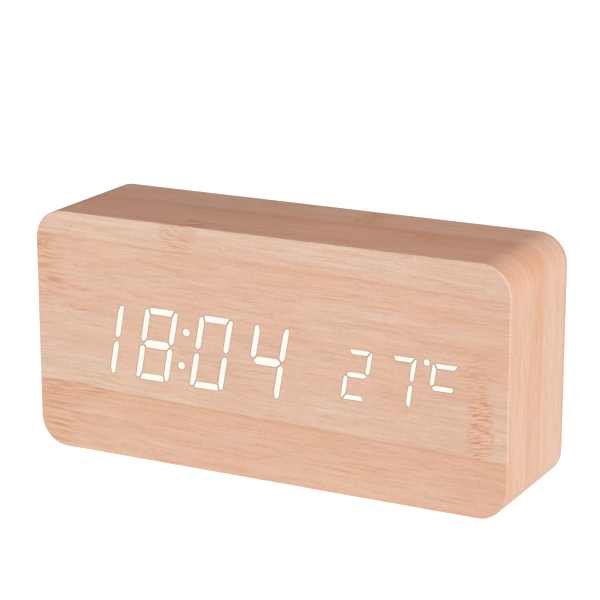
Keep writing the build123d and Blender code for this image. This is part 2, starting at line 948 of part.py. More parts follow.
def latch_room_block(grow, front, rear):
    """The space of the latch behind the door's top edge, grown to the sides and up."""
    half = latch_width / 2 + latch_slit + grow
    top = door_high + door_gap + grow
    return block((-half, half), (front, rear), (well_high + well_wall - grow, top))


def back_cover():
    """The moulded cover: plate, battery well with cradle ribs, door seat, tongue and latch
    openings, posts for two boards, and every hole through the plate."""
    plate = case_outline(film_thickness + rim_width + cover_gap)
    cover = slab(plate, cover_front_y, cover_rear_y)
    well_outer = rounded(
        well_width + 2 * well_wall,
        well_height + 2 * well_wall,
        well_wall,
        0,
        (well_low + well_high) / 2,
    )
    cover += slab(well_outer, well_front_y, cover_front_y)
    latch_front_y = door_seat_y - latch_reach - latch_arm / 2 - latch_room
    cover += latch_room_block(well_wall, latch_front_y - well_wall, cover_front_y)
    cover += [tongue_room(x, well_wall) for x in tongue_places()]
    post = key_post_diameter
    posts = [rod(x, z, post, key_board_rear_y, cover_front_y) for x, z in key_screw_places()]
    post = sensor_post_diameter
    for x, z in sensor_screw_places():
        posts.append(rod(x, z, post, sensor_board_rear_y, cover_front_y))
    cover += posts
    half_width = well_width / 2
    cover -= block(
        (-half_width, half_width), (well_floor_y, cover_outer_y), (well_low, well_high)
    )
    ribs = []
    for side in (-1, 1):
        x = side * well_width / 4
        rib_span = (x - cradle_rib_width / 2, x + cradle_rib_width / 2)
        ribs.append(block(rib_span, (well_floor_y, cell_axis_y), (well_low, well_high)))
    cover += [rib - cell_cylinders(cell_gap / 2) for rib in ribs]
    cover -= slab(door_opening(door_gap), door_seat_y, cover_outer_y)
    cutters = contact_slots() + cover_openings(0)
    for x in tongue_places():
        cutters.append(tongue_room(x, 0))
    cutters.append(latch_room_block(0, latch_front_y, cover_outer_y))
    cutters.append(scoop(scoop_depth))
    cutters += [countersunk_cut(x, z, screw_hole_gap) for x, z in cover_screw_places()]
    pilot = board_screw_shank + 2 * screw_thread_gap
    depth = board_screw_grip + screw_hole_gap
    for places, seat in (
        (key_screw_places(), key_board_rear_y),
        (sensor_screw_places(), sensor_board_rear_y),
    ):
        cutters += [rod(x, z, pilot, seat - cut_overrun, seat + depth) for x, z in places]
    return cover - cutters


def tongue_room(x, grow):
    """The pocket behind the cover's skin in which a tongue sits and swings, or, grown by a
    wall, the block that it is cut from."""
    half = tongue_width / 2 + tongue_gap + grow
    skin_y = door_seat_y + 2 * tongue_gap
    tongue_deep = cover_outer_y - skin_y + tongue_gap + tongue_thickness
    swing = hypot(tongue_deep, tongue_length)
    deepest_y = cover_outer_y - swing - tongue_gap - grow
    low = door_low - tongue_length - tongue_gap - grow
    high = door_low + swing + tongue_gap if grow == 0 else well_low
    return block((x - half, x + half), (deepest_y, skin_y), (low, high))


def back_film():
    """The film on the cover's outside, cut round everything that comes through."""
    plate = case_outline(film_thickness + rim_width + cover_gap)
    film = slab(plate, cover_rear_y, cover_outer_y)
    film -= slab(door_opening(door_gap), cover_rear_y - cut_overrun, cover_outer_y + cut_overrun)
    film -= cover_openings(back_film_margin)
    film -= scoop(scoop_depth)
    return film - [countersunk_cut(x, z, screw_hole_gap) for x, z in cover_screw_places()]


def battery_door():
    """The door: a plate with two ribs, two tongues at the foot and a sprung latch at the top."""
    door = slab(door_opening(0), door_seat_y, cover_outer_y)
    door = fillet(door.edges().group_by(Axis.Y)[-1], film_edge_radius)
    slit_half = latch_width / 2 + latch_slit
    slit_low = door_high - latch_pad - latch_slit
    span_y = (door_seat_y - cut_overrun, cover_outer_y + cut_overrun)
    door -= block((-slit_half, slit_half), span_y, (slit_low, door_high + cut_overrun))
    for low_z, high_z in zip(cell_heights, cell_heights[1:]):
        z = (low_z + high_z) / 2
        half = door_rib_width / 2
        rib_half = well_width / 2 - door_ledge
        rib_y = (door_seat_y - door_rib_height, door_seat_y)
        door += block((-rib_half, rib_half), rib_y, (z - half, z + half))
    for x in tongue_places():
        half = tongue_width / 2
        tongue_rear_y = door_seat_y + tongue_gap
        tongue_y = (tongue_rear_y - tongue_thickness, tongue_rear_y)
        tongue_z = (door_low - tongue_length, door_low + tongue_length)
        door += block((x - half, x + half), tongue_y, tongue_z)
    return door + latch()


def latch():
    """The latch: an arm that leaves the door, turns back on itself and ends in a grooved pad.

    The pad and arm stay inside the arc that the door's top edge swings through.
    """
    tip_z = door_high - latch_arm / 2
    root_z = tip_z - 2 * latch_bend_radius - latch_straight
    deep_y = door_seat_y - latch_reach
    route = FilletPolyline(
        (door_seat_y + latch_arm / 2, root_z),
        (deep_y, root_z),
        (deep_y, tip_z),
        (cover_outer_y, tip_z),
        radius=latch_bend_radius,
    )
    section = trace(route, latch_arm)
    plane = Plane(origin=(-latch_width / 2, 0, 0), x_dir=(0, 1, 0), z_dir=(1, 0, 0))
    arm = extrude(plane * section, latch_width)
    half = latch_width / 2
    pad = block((-half, half), (door_seat_y, cover_outer_y), (door_high - latch_pad, door_high))
    pitch = latch_pad / (latch_grip_count + 1)
    grip_half = latch_grip_length / 2
    for n in range(latch_grip_count):
        z = door_high - (n + 1) * pitch
        groove_z = (z - latch_grip_width / 2, z + latch_grip_width / 2)
        groove_y = (cover_outer_y - latch_grip_height, cover_outer_y + cut_overrun)
        pad -= block((-grip_half, grip_half), groove_y, groove_z)
    swing_radius = door_high - door_low + door_gap / 2
    swing = Pos(0, cover_outer_y, door_low) * Rot(0, 90, 0) * Cylinder(swing_radius, latch_width)
    inside = (arm + pad) & swing
    outer_face = block((-half, half), (deep_y - latch_arm, cover_outer_y), (door_low, door_high))
    return inside & outer_face


def battery_cell(n):
    """One cell: a can with softened rims and its nub."""
    side = positive_side(n)
    start = -side * (well_width / 2 - negative_end)
    radius, edge = cell_diameter / 2, cell_edge_radius
    nub = cell_nub_diameter / 2
    outline = [
        (0, 0),
        (radius - edge, 0),
        (radius, edge),
        (radius, cell_length - edge),
        (radius - edge, cell_length),
        (nub, cell_length),
        (nub, cell_full_length),
        (0, cell_full_length),
    ]
    points = [(start + side * along, out) for out, along in outline]
    profile = make_face(Polyline(*points, close=True))
    return Pos(0, cell_axis_y, cell_heights[n]) * revolve(profile, Axis.X)


def contact_plate(side, low_z, high_z):
    """A flat contact against one end wall of the well."""
    outer = side * well_width / 2
    low, high = sorted((outer, outer - side * contact_thickness))
    half = contact_width / 2
    return block((low, high), (cell_axis_y - half, cell_axis_y + half), (low_z, high_z))


def contact_dimple(side, z):
    """The raised dot that meets a cell's nub."""
    base = side * (well_width / 2 - contact_thickness)
    height = contact_dimple_height
    radius = contact_dimple_diameter / 2
    cone = Cone(radius, radius / 2, height)
    return Pos(base - side * height / 2, cell_axis_y, z) * Rot(0, -90 * side, 0) * cone


def contact_bow(side, z):
    """The bowed leaf that presses on a cell's flat end."""
    base = side * (well_width / 2 - contact_thickness)
    half = contact_height / 2 - contact_thickness
    rise = contact_bow_height
    outer = ThreePointArc((base, z - half), (base - side * rise, z), (base, z + half))
    inner_half, inner_rise = half - contact_thickness, rise - contact_thickness
    inner = ThreePointArc(
        (base, z + inner_half), (base - side * inner_rise, z), (base, z - inner_half)
    )
    low = Line(outer @ 0, inner @ 1)
    high = Line(outer @ 1, inner @ 0)
    face = make_face([outer, high, inner, low])
    return slab(face, cell_axis_y - contact_bow_width / 2, cell_axis_y + contact_bow_width / 2)


def contact_tab(side, z):
    """The solder tab, from the contact down through the well's floor."""
    outer = side * well_width / 2
    low, high = sorted((outer, outer - side * contact_thickness))
    half = contact_tab_width / 2
    return block((low, high), (well_front_y - contact_tab_reach, cell_axis_y), (z - half, z + half))


def positive_contact():
    """The contact at the top cell's nub, with the tab for the red lead."""
    side, z = tab_places()[0]
    half = contact_height / 2
    return contact_plate(side, z - half, z + half) + contact_dimple(side, z) + contact_tab(side, z)


def negative_contact():
    """The contact at the bottom cell's flat end, with the tab for the black lead."""
    side, z = tab_places()[1]
    half = contact_height / 2
    return contact_plate(side, z - half, z + half) + contact_bow(side, z) + contact_tab(side, z)


def bridge_contact(n):
    """The contact that joins cell n's flat end to the nub of the cell above or below it."""
    side = -positive_side(n)
    other = n - 1
    half = contact_height / 2
    low, high = sorted((cell_heights[n], cell_heights[other]))
    plate = contact_plate(side, low - half, high + half)
    return plate + contact_bow(side, cell_heights[n]) + contact_dimple(side, cell_heights[other])


def button(z, mark):
    """A round push button with a flange behind the cover and a shallow mark on its cap."""
    top = cover_outer_y + button_proud
    flange_rear = cover_front_y - button_free_play
    cap = rod(key_column_x, z, button_diameter, flange_front_y, top)
    cap = fillet(cap.edges().group_by(Axis.Y)[-1], button_edge_radius)
    flange = button_diameter + 2 * button_flange_width
    cap += rod(key_column_x, z, flange, flange_front_y, flange_rear)
    if mark == 0:
        sign = Circle(button_mark_size / 2) - Circle(button_mark_size / 4)
    else:
        side = button_mark_size / 2
        foot = -mark * side / 2
        sign = make_face(Polyline((-side, foot), (side, foot), (0, mark * side), close=True))
    place = Pos(key_column_x, z) * sign
    return cap - slab(place, top - button_mark_depth, top + cut_overrun)


def plunger(z):
    """The stem of a switch, which moves with its button."""
    return rod(key_column_x, z, plunger_diameter, switch_top_y - plunger_seat, flange_front_y)


def switch_bodies():
    """The three switches on the key board, each with a bore for its stem."""
    bodies = []
    for z in button_heights:
        outline = Pos(key_column_x, z) * Rectangle(switch_size, switch_size)
        body = slab(outline, key_board_rear_y, switch_top_y)
        bore_floor = switch_top_y - plunger_seat - button_travel - plunger_gap
        bore = plunger_diameter + 2 * plunger_gap
        body -= rod(key_column_x, z, bore, bore_floor, switch_top_y + cut_overrun)
        bodies.append(body)
    return bodies


def key_board():
    """The circuit board that carries the switches, the power socket and the microphone."""
    middle = (key_board_low + key_board_high) / 2
    outline = rounded(
        key_board_width, key_board_high - key_board_low, board_corner_radius, key_column_x, middle
    )
    board = slab(outline, key_board_front_y, key_board_rear_y)
    return board - screw_clearances(key_screw_places(), key_board_front_y, key_board_rear_y)


def power_socket():
    """The power socket's steel shell, open to the rear."""
    shell = slab(port_outline(0), key_board_rear_y, cover_rear_y)
    return shell - slab(port_outline(-port_wall), key_board_rear_y + port_floor, cover_outer_y)


def power_socket_tongue():
    """The contact tongue inside the power socket."""
    half_width, half_height = port_tongue_width / 2, port_tongue_thickness / 2
    middle = port_height + (port_thickness / 2 - port_wall) / 2
    front = key_board_rear_y + port_floor
    return block(
        (key_column_x - half_width, key_column_x + half_width),
        (front, cover_rear_y - port_wall),
        (middle - half_height, middle + half_height),
    )


def microphone():
    """The round microphone behind its hole in the cover."""
    front = key_board_rear_y
    rear = front + microphone_length
    can = rod(key_column_x, microphone_height, microphone_diameter, front, rear)
    port_front = rear - microphone_port_depth
    port = rod(key_column_x, microphone_height, microphone_port, port_front, rear + cut_overrun)
    return can - port


def sensor_board():
    """The small board behind the air slots."""
    outline = rounded(
        sensor_board_width, sensor_board_height, board_corner_radius, sensor_x, sensor_height
    )
    board = slab(outline, sensor_board_front_y, sensor_board_rear_y)
    return board - screw_clearances(
        sensor_screw_places(), sensor_board_front_y, sensor_board_rear_y
    )


def temperature_sensor():
    """The sensor's bead on its two stiff leads."""
    bead_y = sensor_board_rear_y + sensor_lead_length
    bead = Pos(sensor_x, bead_y, sensor_height) * Sphere(sensor_bead_diameter / 2)
    half = sensor_lead_spacing / 2
    for x in (sensor_x - half, sensor_x + half):
        bead += rod(x, sensor_height, sensor_lead_diameter, sensor_board_rear_y, bead_y)
    return bead


def lead(points):
    """A round lead along straight runs with arcs as large as the runs allow."""
    vectors = [Vector(*p) for p in points]
    radii = []
    for before, at, after in zip(vectors, vectors[1:], vectors[2:]):
        run = min((at - before).length, (after - at).length)
        turn = (at - before).get_angle(after - at)
        radii.append(lead_bend_share * run / tan(radians(turn) / 2))
    print("lead bend radii:", [round(r, 1) for r in radii])
    route = FilletPolyline(*vectors, radius=radii)
    start = Plane(origin=route @ 0, z_dir=route % 0)
    return sweep(start * Circle(lead_diameter / 2), path=route)


def battery_lead(place, socket_side):
    """A lead from a solder tab down past the well to the battery socket."""
    side, z = tab_places()[place]
    x = side * (well_width - contact_thickness) / 2
    tab_y = well_front_y - contact_tab_reach
    end_x = battery_socket_x + socket_side * lead_stagger / 2
    end_y = display_board_rear_y + socket_height
    run = lead_run_share * (tab_y - end_y)
    return lead(
        [
            (x, tab_y, z),
            (x, tab_y - run, z),
            (end_x, end_y + run, socket_z),
            (end_x, end_y, socket_z),
        ]
    )


def sensor_lead():
    """The sensor board's lead to its socket on the display board."""
    start_y = sensor_board_front_y
    end_y = display_board_rear_y + socket_height
    run = lead_run_share * (start_y - end_y)
    return lead(
        [
            (sensor_x, start_y, sensor_height),
            (sensor_x, start_y - run, sensor_height),
            (sensor_socket_x, end_y + run, socket_z),
            (sensor_socket_x, end_y, socket_z),
        ]
    )


def gathered(solids):
    """Several separate solids as one node."""
    return Compound(children=list(solids))


def build():
    """Every node of the clock, by name."""
    sides = side_film_whole()
    zone = base_zone()
    nodes = {
        "front_film": front_film(),
        "side_film": sides - zone,
        "base_film": sides & zone,
        "front_board": front_board(),
        "case_frame": case_frame(),
        "back_cover": back_cover(),
        "back_film": back_film(),
        "cover_screws": gathered(cover_screws()),
        "light_box": light_box(),
        "time_bars_lit": gathered(light_guides(("time",), True)),
        "temperature_bars_lit": gathered(light_guides(("temperature",), True)),
        "bars_unlit": gathered(light_guides(("time", "temperature"), False)),
        "light_chips": gathered(light_chips()),
        "display_board": display_board(),
        "display_screws": gathered(display_screws()),
        "controller_chip": controller(),
        "timer_chip": timer_chip(),
        "timing_crystal": crystal(),
        "alarm_buzzer": buzzer(),
        "backup_cell_holder": coin_holder(),
        "backup_cell": coin_cell(),
        "smoothing_capacitor": capacitor(),
        "chip_resistors": gathered(chip_resistors()),
        "battery_lead_socket": wire_socket(battery_socket_x),
        "sensor_lead_socket": wire_socket(sensor_socket_x),
        "ribbon_sockets": gathered(ribbon_sockets()),
        "ribbon_cable": ribbon_cable(),
        "battery_lead_red": battery_lead(0, 1),
        "battery_lead_black": battery_lead(1, -1),
        "sensor_lead": sensor_lead(),
        "battery_door": battery_door(),
        "positive_contact": positive_contact(),
        "negative_contact": negative_contact(),
        "set_button": button(button_heights[0], 0),
        "up_button": button(button_heights[1], 1),
        "down_button": button(button_heights[2], -1),
        "set_plunger": plunger(button_heights[0]),
        "up_plunger": plunger(button_heights[1]),
        "down_plunger": plunger(button_heights[2]),
        "switch_bodies": gathered(switch_bodies()),
        "key_board": key_board(),
        "key_board_screws": gathered(key_screws()),
        "power_socket_shell": power_socket(),
        "power_socket_tongue": power_socket_tongue(),
        "microphone": microphone(),
        "sensor_board": sensor_board(),
        "sensor_board_screws": gathered(sensor_screws()),
        "temperature_sensor": temperature_sensor(),
    }
    for n in range(cell_count):
        nodes[f"battery_cell_{n + 1}"] = battery_cell(n)
    for n in range(1, cell_count):
        nodes[f"bridge_contact_{n}"] = bridge_contact(n)
    return nodes


os.makedirs("parts", exist_ok=True)
for name, shape in build().items():
    export_step(shape, f"parts/{name}.step")
    print(name, len(shape.solids()), "solids", round(shape.volume, 1), "mm3")
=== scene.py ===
# %% [markdown]
# # A digital LED desk clock in a bamboo-look case
#
# This lesson dresses a finished construction model in Blender. The clock is a block of
# fibreboard, 150 mm wide, wrapped in a printed bamboo film. White bars of light shine
# through the face, and a moulded cover with buttons, a power socket and a battery door
# closes the back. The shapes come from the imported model. What is left for this script is
# what an eye meets first: the film's grain, the glow of the bars, the finish of each
# plastic and metal part, and the light.
#
# All lengths in Blender are metres. Sizes are written here in millimetres, as the clock's
# parts are measured, and multiplied by MM.

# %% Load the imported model
from math import radians

import bpy
import numpy as np
from mathutils import Matrix, Vector


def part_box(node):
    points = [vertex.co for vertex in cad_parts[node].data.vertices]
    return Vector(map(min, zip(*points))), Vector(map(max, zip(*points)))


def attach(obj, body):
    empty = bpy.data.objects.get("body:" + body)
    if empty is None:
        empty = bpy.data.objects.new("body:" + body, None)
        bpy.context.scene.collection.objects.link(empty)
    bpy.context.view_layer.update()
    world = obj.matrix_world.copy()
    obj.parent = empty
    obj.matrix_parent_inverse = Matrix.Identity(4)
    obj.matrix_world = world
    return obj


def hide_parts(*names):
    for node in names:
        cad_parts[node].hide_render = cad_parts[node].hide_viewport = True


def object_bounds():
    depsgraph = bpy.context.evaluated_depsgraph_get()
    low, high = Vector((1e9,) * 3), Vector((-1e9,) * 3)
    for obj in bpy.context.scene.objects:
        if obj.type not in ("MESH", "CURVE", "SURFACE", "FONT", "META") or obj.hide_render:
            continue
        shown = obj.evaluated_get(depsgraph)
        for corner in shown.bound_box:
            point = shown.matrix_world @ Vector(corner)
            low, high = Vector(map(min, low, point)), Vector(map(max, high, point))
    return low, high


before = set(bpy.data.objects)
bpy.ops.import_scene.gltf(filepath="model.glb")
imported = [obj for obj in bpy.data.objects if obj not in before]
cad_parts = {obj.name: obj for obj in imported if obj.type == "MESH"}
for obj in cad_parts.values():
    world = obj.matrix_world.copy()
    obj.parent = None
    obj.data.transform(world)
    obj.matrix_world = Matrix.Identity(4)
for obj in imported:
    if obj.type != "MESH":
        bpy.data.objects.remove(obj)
MM = 0.001
cad_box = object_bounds()
case_low, case_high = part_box("side_film")
face_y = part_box("front_film")[0].y
case_middle_z = (case_low.z + case_high.z) / 2
case_size = [round(length / MM, 1) for length in case_high - case_low]
print("nodes:", len(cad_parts), "case in mm:", case_size)

# %% [markdown]
# ## Camera
#
# The photograph was taken from the front, 27.5 degrees round to the clock's right and
# 15.5 degrees up, with a long lens: the far edges of the face run almost parallel. The
# place and turn below were worked out from the outline of the case and its known size, so
# the render can be laid over the photograph.

# %% The photograph's camera
CAMERA_PLACE = Vector((298.01, -569.72, 226.93)) * MM
CAMERA_RIGHT = Vector((0.88720, 0.46138, -0.00166))
CAMERA_UP = Vector((-0.12194, 0.23794, 0.96359))
LENS = 139.05
SENSOR = 36.0
CLIP_START = 10 * MM


def add_object(name, data):
    """Puts a mesh, a lamp or a camera into the scene."""
    piece = bpy.data.objects.new(name, data)
    bpy.context.scene.collection.objects.link(piece)
    return piece


def photograph_camera():
    """A camera whose three axes are given: right, up, and backwards as their cross product."""
    camera = add_object("camera", bpy.data.cameras.new("camera"))
    backwards = CAMERA_RIGHT.cross(CAMERA_UP).normalized()
    up = backwards.cross(CAMERA_RIGHT).normalized()
    turn = Matrix((CAMERA_RIGHT.normalized(), up, backwards)).transposed()
    camera.matrix_world = Matrix.Translation(CAMERA_PLACE) @ turn.to_4x4()
    camera.data.lens = LENS
    camera.data.sensor_width = SENSOR
    camera.data.clip_start = CLIP_START
    return camera


bpy.context.scene.camera = photograph_camera()
bpy.context.scene.view_settings.view_transform = "Standard"
print("camera distance in mm:", round(CAMERA_PLACE.length / MM))

# %% [markdown]
# ## Nodes without the clutter
#
# A material is a small program, and wiring it by hand takes many lines. This helper adds
# one node per call and hands back the output, so a recipe reads from top to bottom like
# ordinary arithmetic.

# %% A helper that fills node trees
BLACK = (0.0, 0.0, 0.0, 1.0)
WHITE = (1.0, 1.0, 1.0, 1.0)


def colour(red, green, blue):
    """A colour given as it looks on a screen, 0 to 255, turned into Blender's linear light."""
    screen = np.array([red, green, blue]) / 255
    return (*(((screen + 0.055) / 1.055) ** 2.4).tolist(), 1.0)


class Recipe:
    """A node tree that is being filled: each call adds one node and returns its output."""

    def __init__(self, tree):
        self.tree = tree

    def put(self, kind, inputs=None, output=0, **settings):
        """Adds a node, sets it up, and feeds its inputs with values or other outputs."""
        node = self.tree.nodes.new("ShaderNode" + kind)
        for name, value in settings.items():
            setattr(node, name, value)
        for key, value in (inputs or {}).items():
            self.feed(node.inputs[key], value)
        return node if output is None else node.outputs[output]

    def feed(self, socket, value):
        """Links an output into a socket, or sets the socket's own value."""
        if isinstance(value, bpy.types.NodeSocket):
            self.tree.links.new(value, socket)
        else:
            socket.default_value = value

    def fill(self, node, **values):
        """Feeds several inputs of a node by name, where _ stands for a space."""
        for name, value in values.items():
            self.feed(node.inputs[name.replace("_", " ")], value)

    def emboss(self, shader, height, strength, depth):
        """Gives a shader a bump, where a height of 1 stands depth mm above a height of 0."""
        inputs = {"Height": height, "Strength": strength, "Distance": depth * MM}
        self.fill(shader, Normal=self.put("Bump", inputs))

    def math(self, operation, *values):
        return self.put("Math", dict(enumerate(values)), operation=operation)

    def minus(self, first, second):
        return self.math("SUBTRACT", first, second)

    def times(self, first, second):
        return self.math("MULTIPLY", first, second)

    def over(self, first, second):
        return self.math("DIVIDE", first, second)

    def line(self, value, slope, start):
        """A straight line: value * slope + start."""
        return self.math("MULTIPLY_ADD", value, slope, start)

    def vector(self, operation, *values):
        return self.put("VectorMath", dict(enumerate(values)), operation=operation)

    def scaled(self, vector, factor):
        """A vector times one number, which may be an output too."""
        return self.put("VectorMath", {0: vector, 3: factor}, operation="SCALE")

    def split(self, vector):
        return self.put("SeparateXYZ", {0: vector}, output=None).outputs

    def join(self, x, y, z=0.0):
        return self.put("CombineXYZ", {0: x, 1: y, 2: z})

    def noise(self, place, detail=2.0, roughness=0.5):
        """Soft random values about 0.5, one blob to each unit of place."""
        inputs = {"Vector": place, "Scale": 1.0, "Detail": detail, "Roughness": roughness}
        return self.put("TexNoise", inputs)

    def spread(self, value, low=0.3, high=0.7, to_low=0.0, to_high=1.0):
        """Brings low..high to to_low..to_high, softly, and holds it there.

        Noise seldom leaves 0.3 to 0.7, so that range is taken where none is given.
        """
        inputs = {0: value, 1: low, 2: high, 3: to_low, 4: to_high}
        return self.put("MapRange", inputs, interpolation_type="SMOOTHSTEP")

    def mix(self, amount, first, second, blend="MIX"):
        """Two colours mixed by an amount."""
        inputs = {0: amount, 6: first, 7: second}
        return self.put("Mix", inputs, output=2, data_type="RGBA", blend_type=blend)

    def tinted(self, shade, tint):
        """One colour times another."""
        return self.mix(1.0, shade, tint, "MULTIPLY")

    def choose(self, question, no, yes):
        """The first value where the question's answer is 0, the second where it is 1."""
        return self.put("Mix", {0: question, 2: no, 3: yes})

    def ramp(self, value, stops, interpolation="EASE"):
        """A colour band along value: stops are (place, colour) pairs."""
        node = self.put("ValToRGB", {0: value}, output=None)
        band = node.color_ramp
        band.interpolation = interpolation
        while len(band.elements) < len(stops):
            band.elements.new(1.0)
        for element, (place, shade) in zip(band.elements, stops):
            element.position = place
            element.color = shade
        return node.outputs[0]

    def group(self, name, inputs):
        """Places a node group and returns its outputs by name."""
        return self.put("Group", inputs, None, node_tree=bpy.data.node_groups[name]).outputs


def new_group(name, inputs, outputs):
    """An empty node group: returns its recipe, what it is given and the node for its results."""
    tree = bpy.data.node_groups.new(name, "ShaderNodeTree")
    for side, sockets in (("INPUT", inputs), ("OUTPUT", outputs)):
        for label, kind in sockets.items():
            tree.interface.new_socket(label, in_out=side, socket_type="NodeSocket" + kind)
    given = tree.nodes.new("NodeGroupInput").outputs
    result = tree.nodes.new("NodeGroupOutput")
    return Recipe(tree), given, result


def new_material(name, **fixed):
    """A material with one Principled shader: fixed sets what is the same all over it."""
    material = bpy.data.materials.new(name)
    material.use_nodes = True
    shader = material.node_tree.nodes["Principled BSDF"]
    recipe = Recipe(material.node_tree)
    recipe.fill(shader, **fixed)
    place = recipe.put("TexCoord", output="Object")
    return material, recipe, shader, place


def dress(material, *nodes):
    """Gives the named construction pieces a material."""
    for name in nodes:
        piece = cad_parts[name]
        if not piece.material_slots:
            piece.data.materials.append(material)
        for slot in piece.material_slots:
            slot.material = material
    print(material.name, "on", len(nodes), "pieces,", len(material.node_tree.nodes), "nodes")


print("white on screen is", colour(255, 255, 255)[0])

# %% [markdown]
# ## Grain that follows the case
#
# The film is one printed sheet wrapped round the block, so its grain has to run along the
# face, and round the four rounded corners without a break. Object coordinates alone would
# smear at the corners. The group below unrolls the case: it turns a place on the sides
# into the length walked round the outline, and the depth from front to back.

# %% Unrolling the case
def build_unrolled_case():
    """The length along a rounded rectangle, from the straight runs and the corner's arc.

    With dx and dz the distances past the corner's centre, the length from the end of the
    right side is min(dz, 0) + radius * atan2(max(dz, 0), max(dx, 0)) + max(-dx, 0). The
    other three quarters continue it by mirroring.
    """
    sizes = dict.fromkeys(("Middle Height", "Half Width", "Half Height", "Radius"), "Float")
    inputs = {"Place": "Vector", **sizes}
    r, given, result = new_group("unrolled_case", inputs, {"Grain Place": "Vector"})
    x, y, z = r.split(given["Place"])
    z = r.minus(z, given["Middle Height"])
    run_x = r.minus(given["Half Width"], given["Radius"])
    run_z = r.minus(given["Half Height"], given["Radius"])
    dx = r.minus(r.math("ABSOLUTE", x), run_x)
    dz = r.minus(r.math("ABSOLUTE", z), run_z)
    angle = r.math("ARCTAN2", r.math("MAXIMUM", dz, 0.0), r.math("MAXIMUM", dx, 0.0))
    length = r.line(angle, given["Radius"], r.math("MINIMUM", dz, 0.0))
    length = r.minus(length, r.math("MINIMUM", dx, 0.0))
    mirrored = r.line(run_z, -2.0, r.times(length, -1.0))
    length = r.choose(r.math("LESS_THAN", z, 0.0), length, mirrored)
    quarter = r.line(given["Radius"], radians(90), run_x)
    mirrored = r.line(quarter, 2.0, r.times(length, -1.0))
    length = r.choose(r.math("LESS_THAN", x, 0.0), length, mirrored)
    r.fill(result, Grain_Place=r.join(length, y))


build_unrolled_case()
print("node groups:", [group.name for group in bpy.data.node_groups])

# %% [markdown]
# ## The bamboo print
#
# Bamboo board is made of strips about 23 mm wide. Each strip has thousands of straight
# fibres, seen as thin wavy streaks, and every so often a knuckle where the cane had a
# joint: a stack of short orange dashes. The film is a photograph of such board, so the
# colours are close together and the surface itself is smooth.
#
# The streaks are noise stretched a long way along the grain. The finest fibres are a little
# lighter or darker than the ground. The streaks and patches they lie in, from under a
# millimetre to some millimetres high and centimetres long, are not darker but more orange.
# Keeping the two apart is what tells printed bamboo from brushed metal.

# %% Fibres of the bamboo print
FILM_COLOURS = {
    "Cool Color": colour(234, 203, 181),
    "Warm Color": colour(233, 182, 154),
    "Dark Color": colour(208, 163, 135),
    "Light Color": colour(255, 217, 196),
}
FINE_LAYERS = [
    # length and height in mm, weight, detail
    (1.2, 0.36, 0.42, 1.0),
    (14.0, 0.5, 0.42, 2.0),
]
BROAD_LAYERS = [
    (14.0, 0.7, 0.9, 1.0),
    (22.0, 1.4, 0.95, 1.0),
    (30.0, 3.6, 0.8, 3.0),
    (80.0, 9.0, 0.4, 1.0),
]
LAYER_SHIFT = 7.3
THREAD_LAYER, TINT_LAYER = 8, 9
TINT_BLOB = (16.0, 2.2)
TINTS = ((1.0, 1.0, 0.87, 1.0), (1.0, 1.0, 1.13, 1.0))
WANDERS = [
    # length, height and sideways reach in mm
    (42.0, 9.0, 1.6),
    (11.0, 3.0, 0.8),
]
THREAD_BLOB = (34.0, 2.2)
THREAD_WIDTH = 0.045
THREAD_WEIGHT = 0.14


def build_bamboo_print():
    """Fibres lighter and darker than a ground that goes from a cool to a warm colour.

    Both sums start at a half: 0.5 + contrast * weight * (noise - 0.5), added up over their
    layers. Threads are where a last noise passes a half, and they are drawn a little darker.
    """
    inputs = {"Grain Place": "Vector", "Seed": "Float", "Contrast": "Float"}
    inputs.update(dict.fromkeys(FILM_COLOURS, "Color"))
    outputs = {"Color": "Color", "Fibre": "Float", "Warped Place": "Vector"}
    r, given, result = new_group("bamboo_print", inputs, outputs)
    along, across, depth = r.split(r.scaled(given["Grain Place"], 1 / MM))
    for length, height, reach in WANDERS:
        place = r.join(r.over(along, length), r.over(across, height), given["Seed"])
        wander = r.minus(r.noise(place, detail=1.0), 0.5)
        across = r.line(wander, reach, across)

    def stretched(length, height, layer):
        """The place in a noise whose blobs are this long and high, each layer elsewhere."""
        shift = r.math("ADD", given["Seed"], LAYER_SHIFT * layer)
        return r.join(r.over(along, length), r.over(across, height), shift)

    sums = []
    for first, layers in ((1, FINE_LAYERS), (3, BROAD_LAYERS)):
        total = 0.5
        for layer, (length, height, weight, detail) in enumerate(layers, first):
            wave = r.minus(r.noise(stretched(length, height, layer), detail), 0.5)
            weight = r.times(given["Contrast"], weight)
            total = r.line(wave, weight, total)
        sums.append(total)
    fibre, warmth = sums
    place = stretched(*THREAD_BLOB, THREAD_LAYER)
    edge = r.math("ABSOLUTE", r.minus(r.noise(place, roughness=0.7), 0.5))
    thread = r.times(r.spread(edge, THREAD_WIDTH, 0.0), given["Contrast"])
    fibre = r.line(thread, -THREAD_WEIGHT, fibre)
    shade = r.mix(warmth, given["Cool Color"], given["Warm Color"])
    tint = r.mix(r.noise(stretched(*TINT_BLOB, TINT_LAYER)), *TINTS)
    shade = r.tinted(shade, tint)
    shade = r.mix(r.line(fibre, -2.0, 1.0), shade, given["Dark Color"])
    shade = r.mix(r.line(fibre, 2.0, -1.0), shade, given["Light Color"])
    r.fill(result, Color=shade, Fibre=fibre, Warped_Place=r.join(along, across))


build_bamboo_print()
print("fine layers:", len(FINE_LAYERS), "broad layers:", len(BROAD_LAYERS))

# %% [markdown]
# A knuckle is an oval patch. Inside it short dashes, a little aslant, are stacked above
# each other with paler gaps between them, and the ground is stained more orange than the
# rest. The group returns a mask for each, so that a material can colour them apart. Several
# knuckles are added up in the material, each at its own place on its strip.

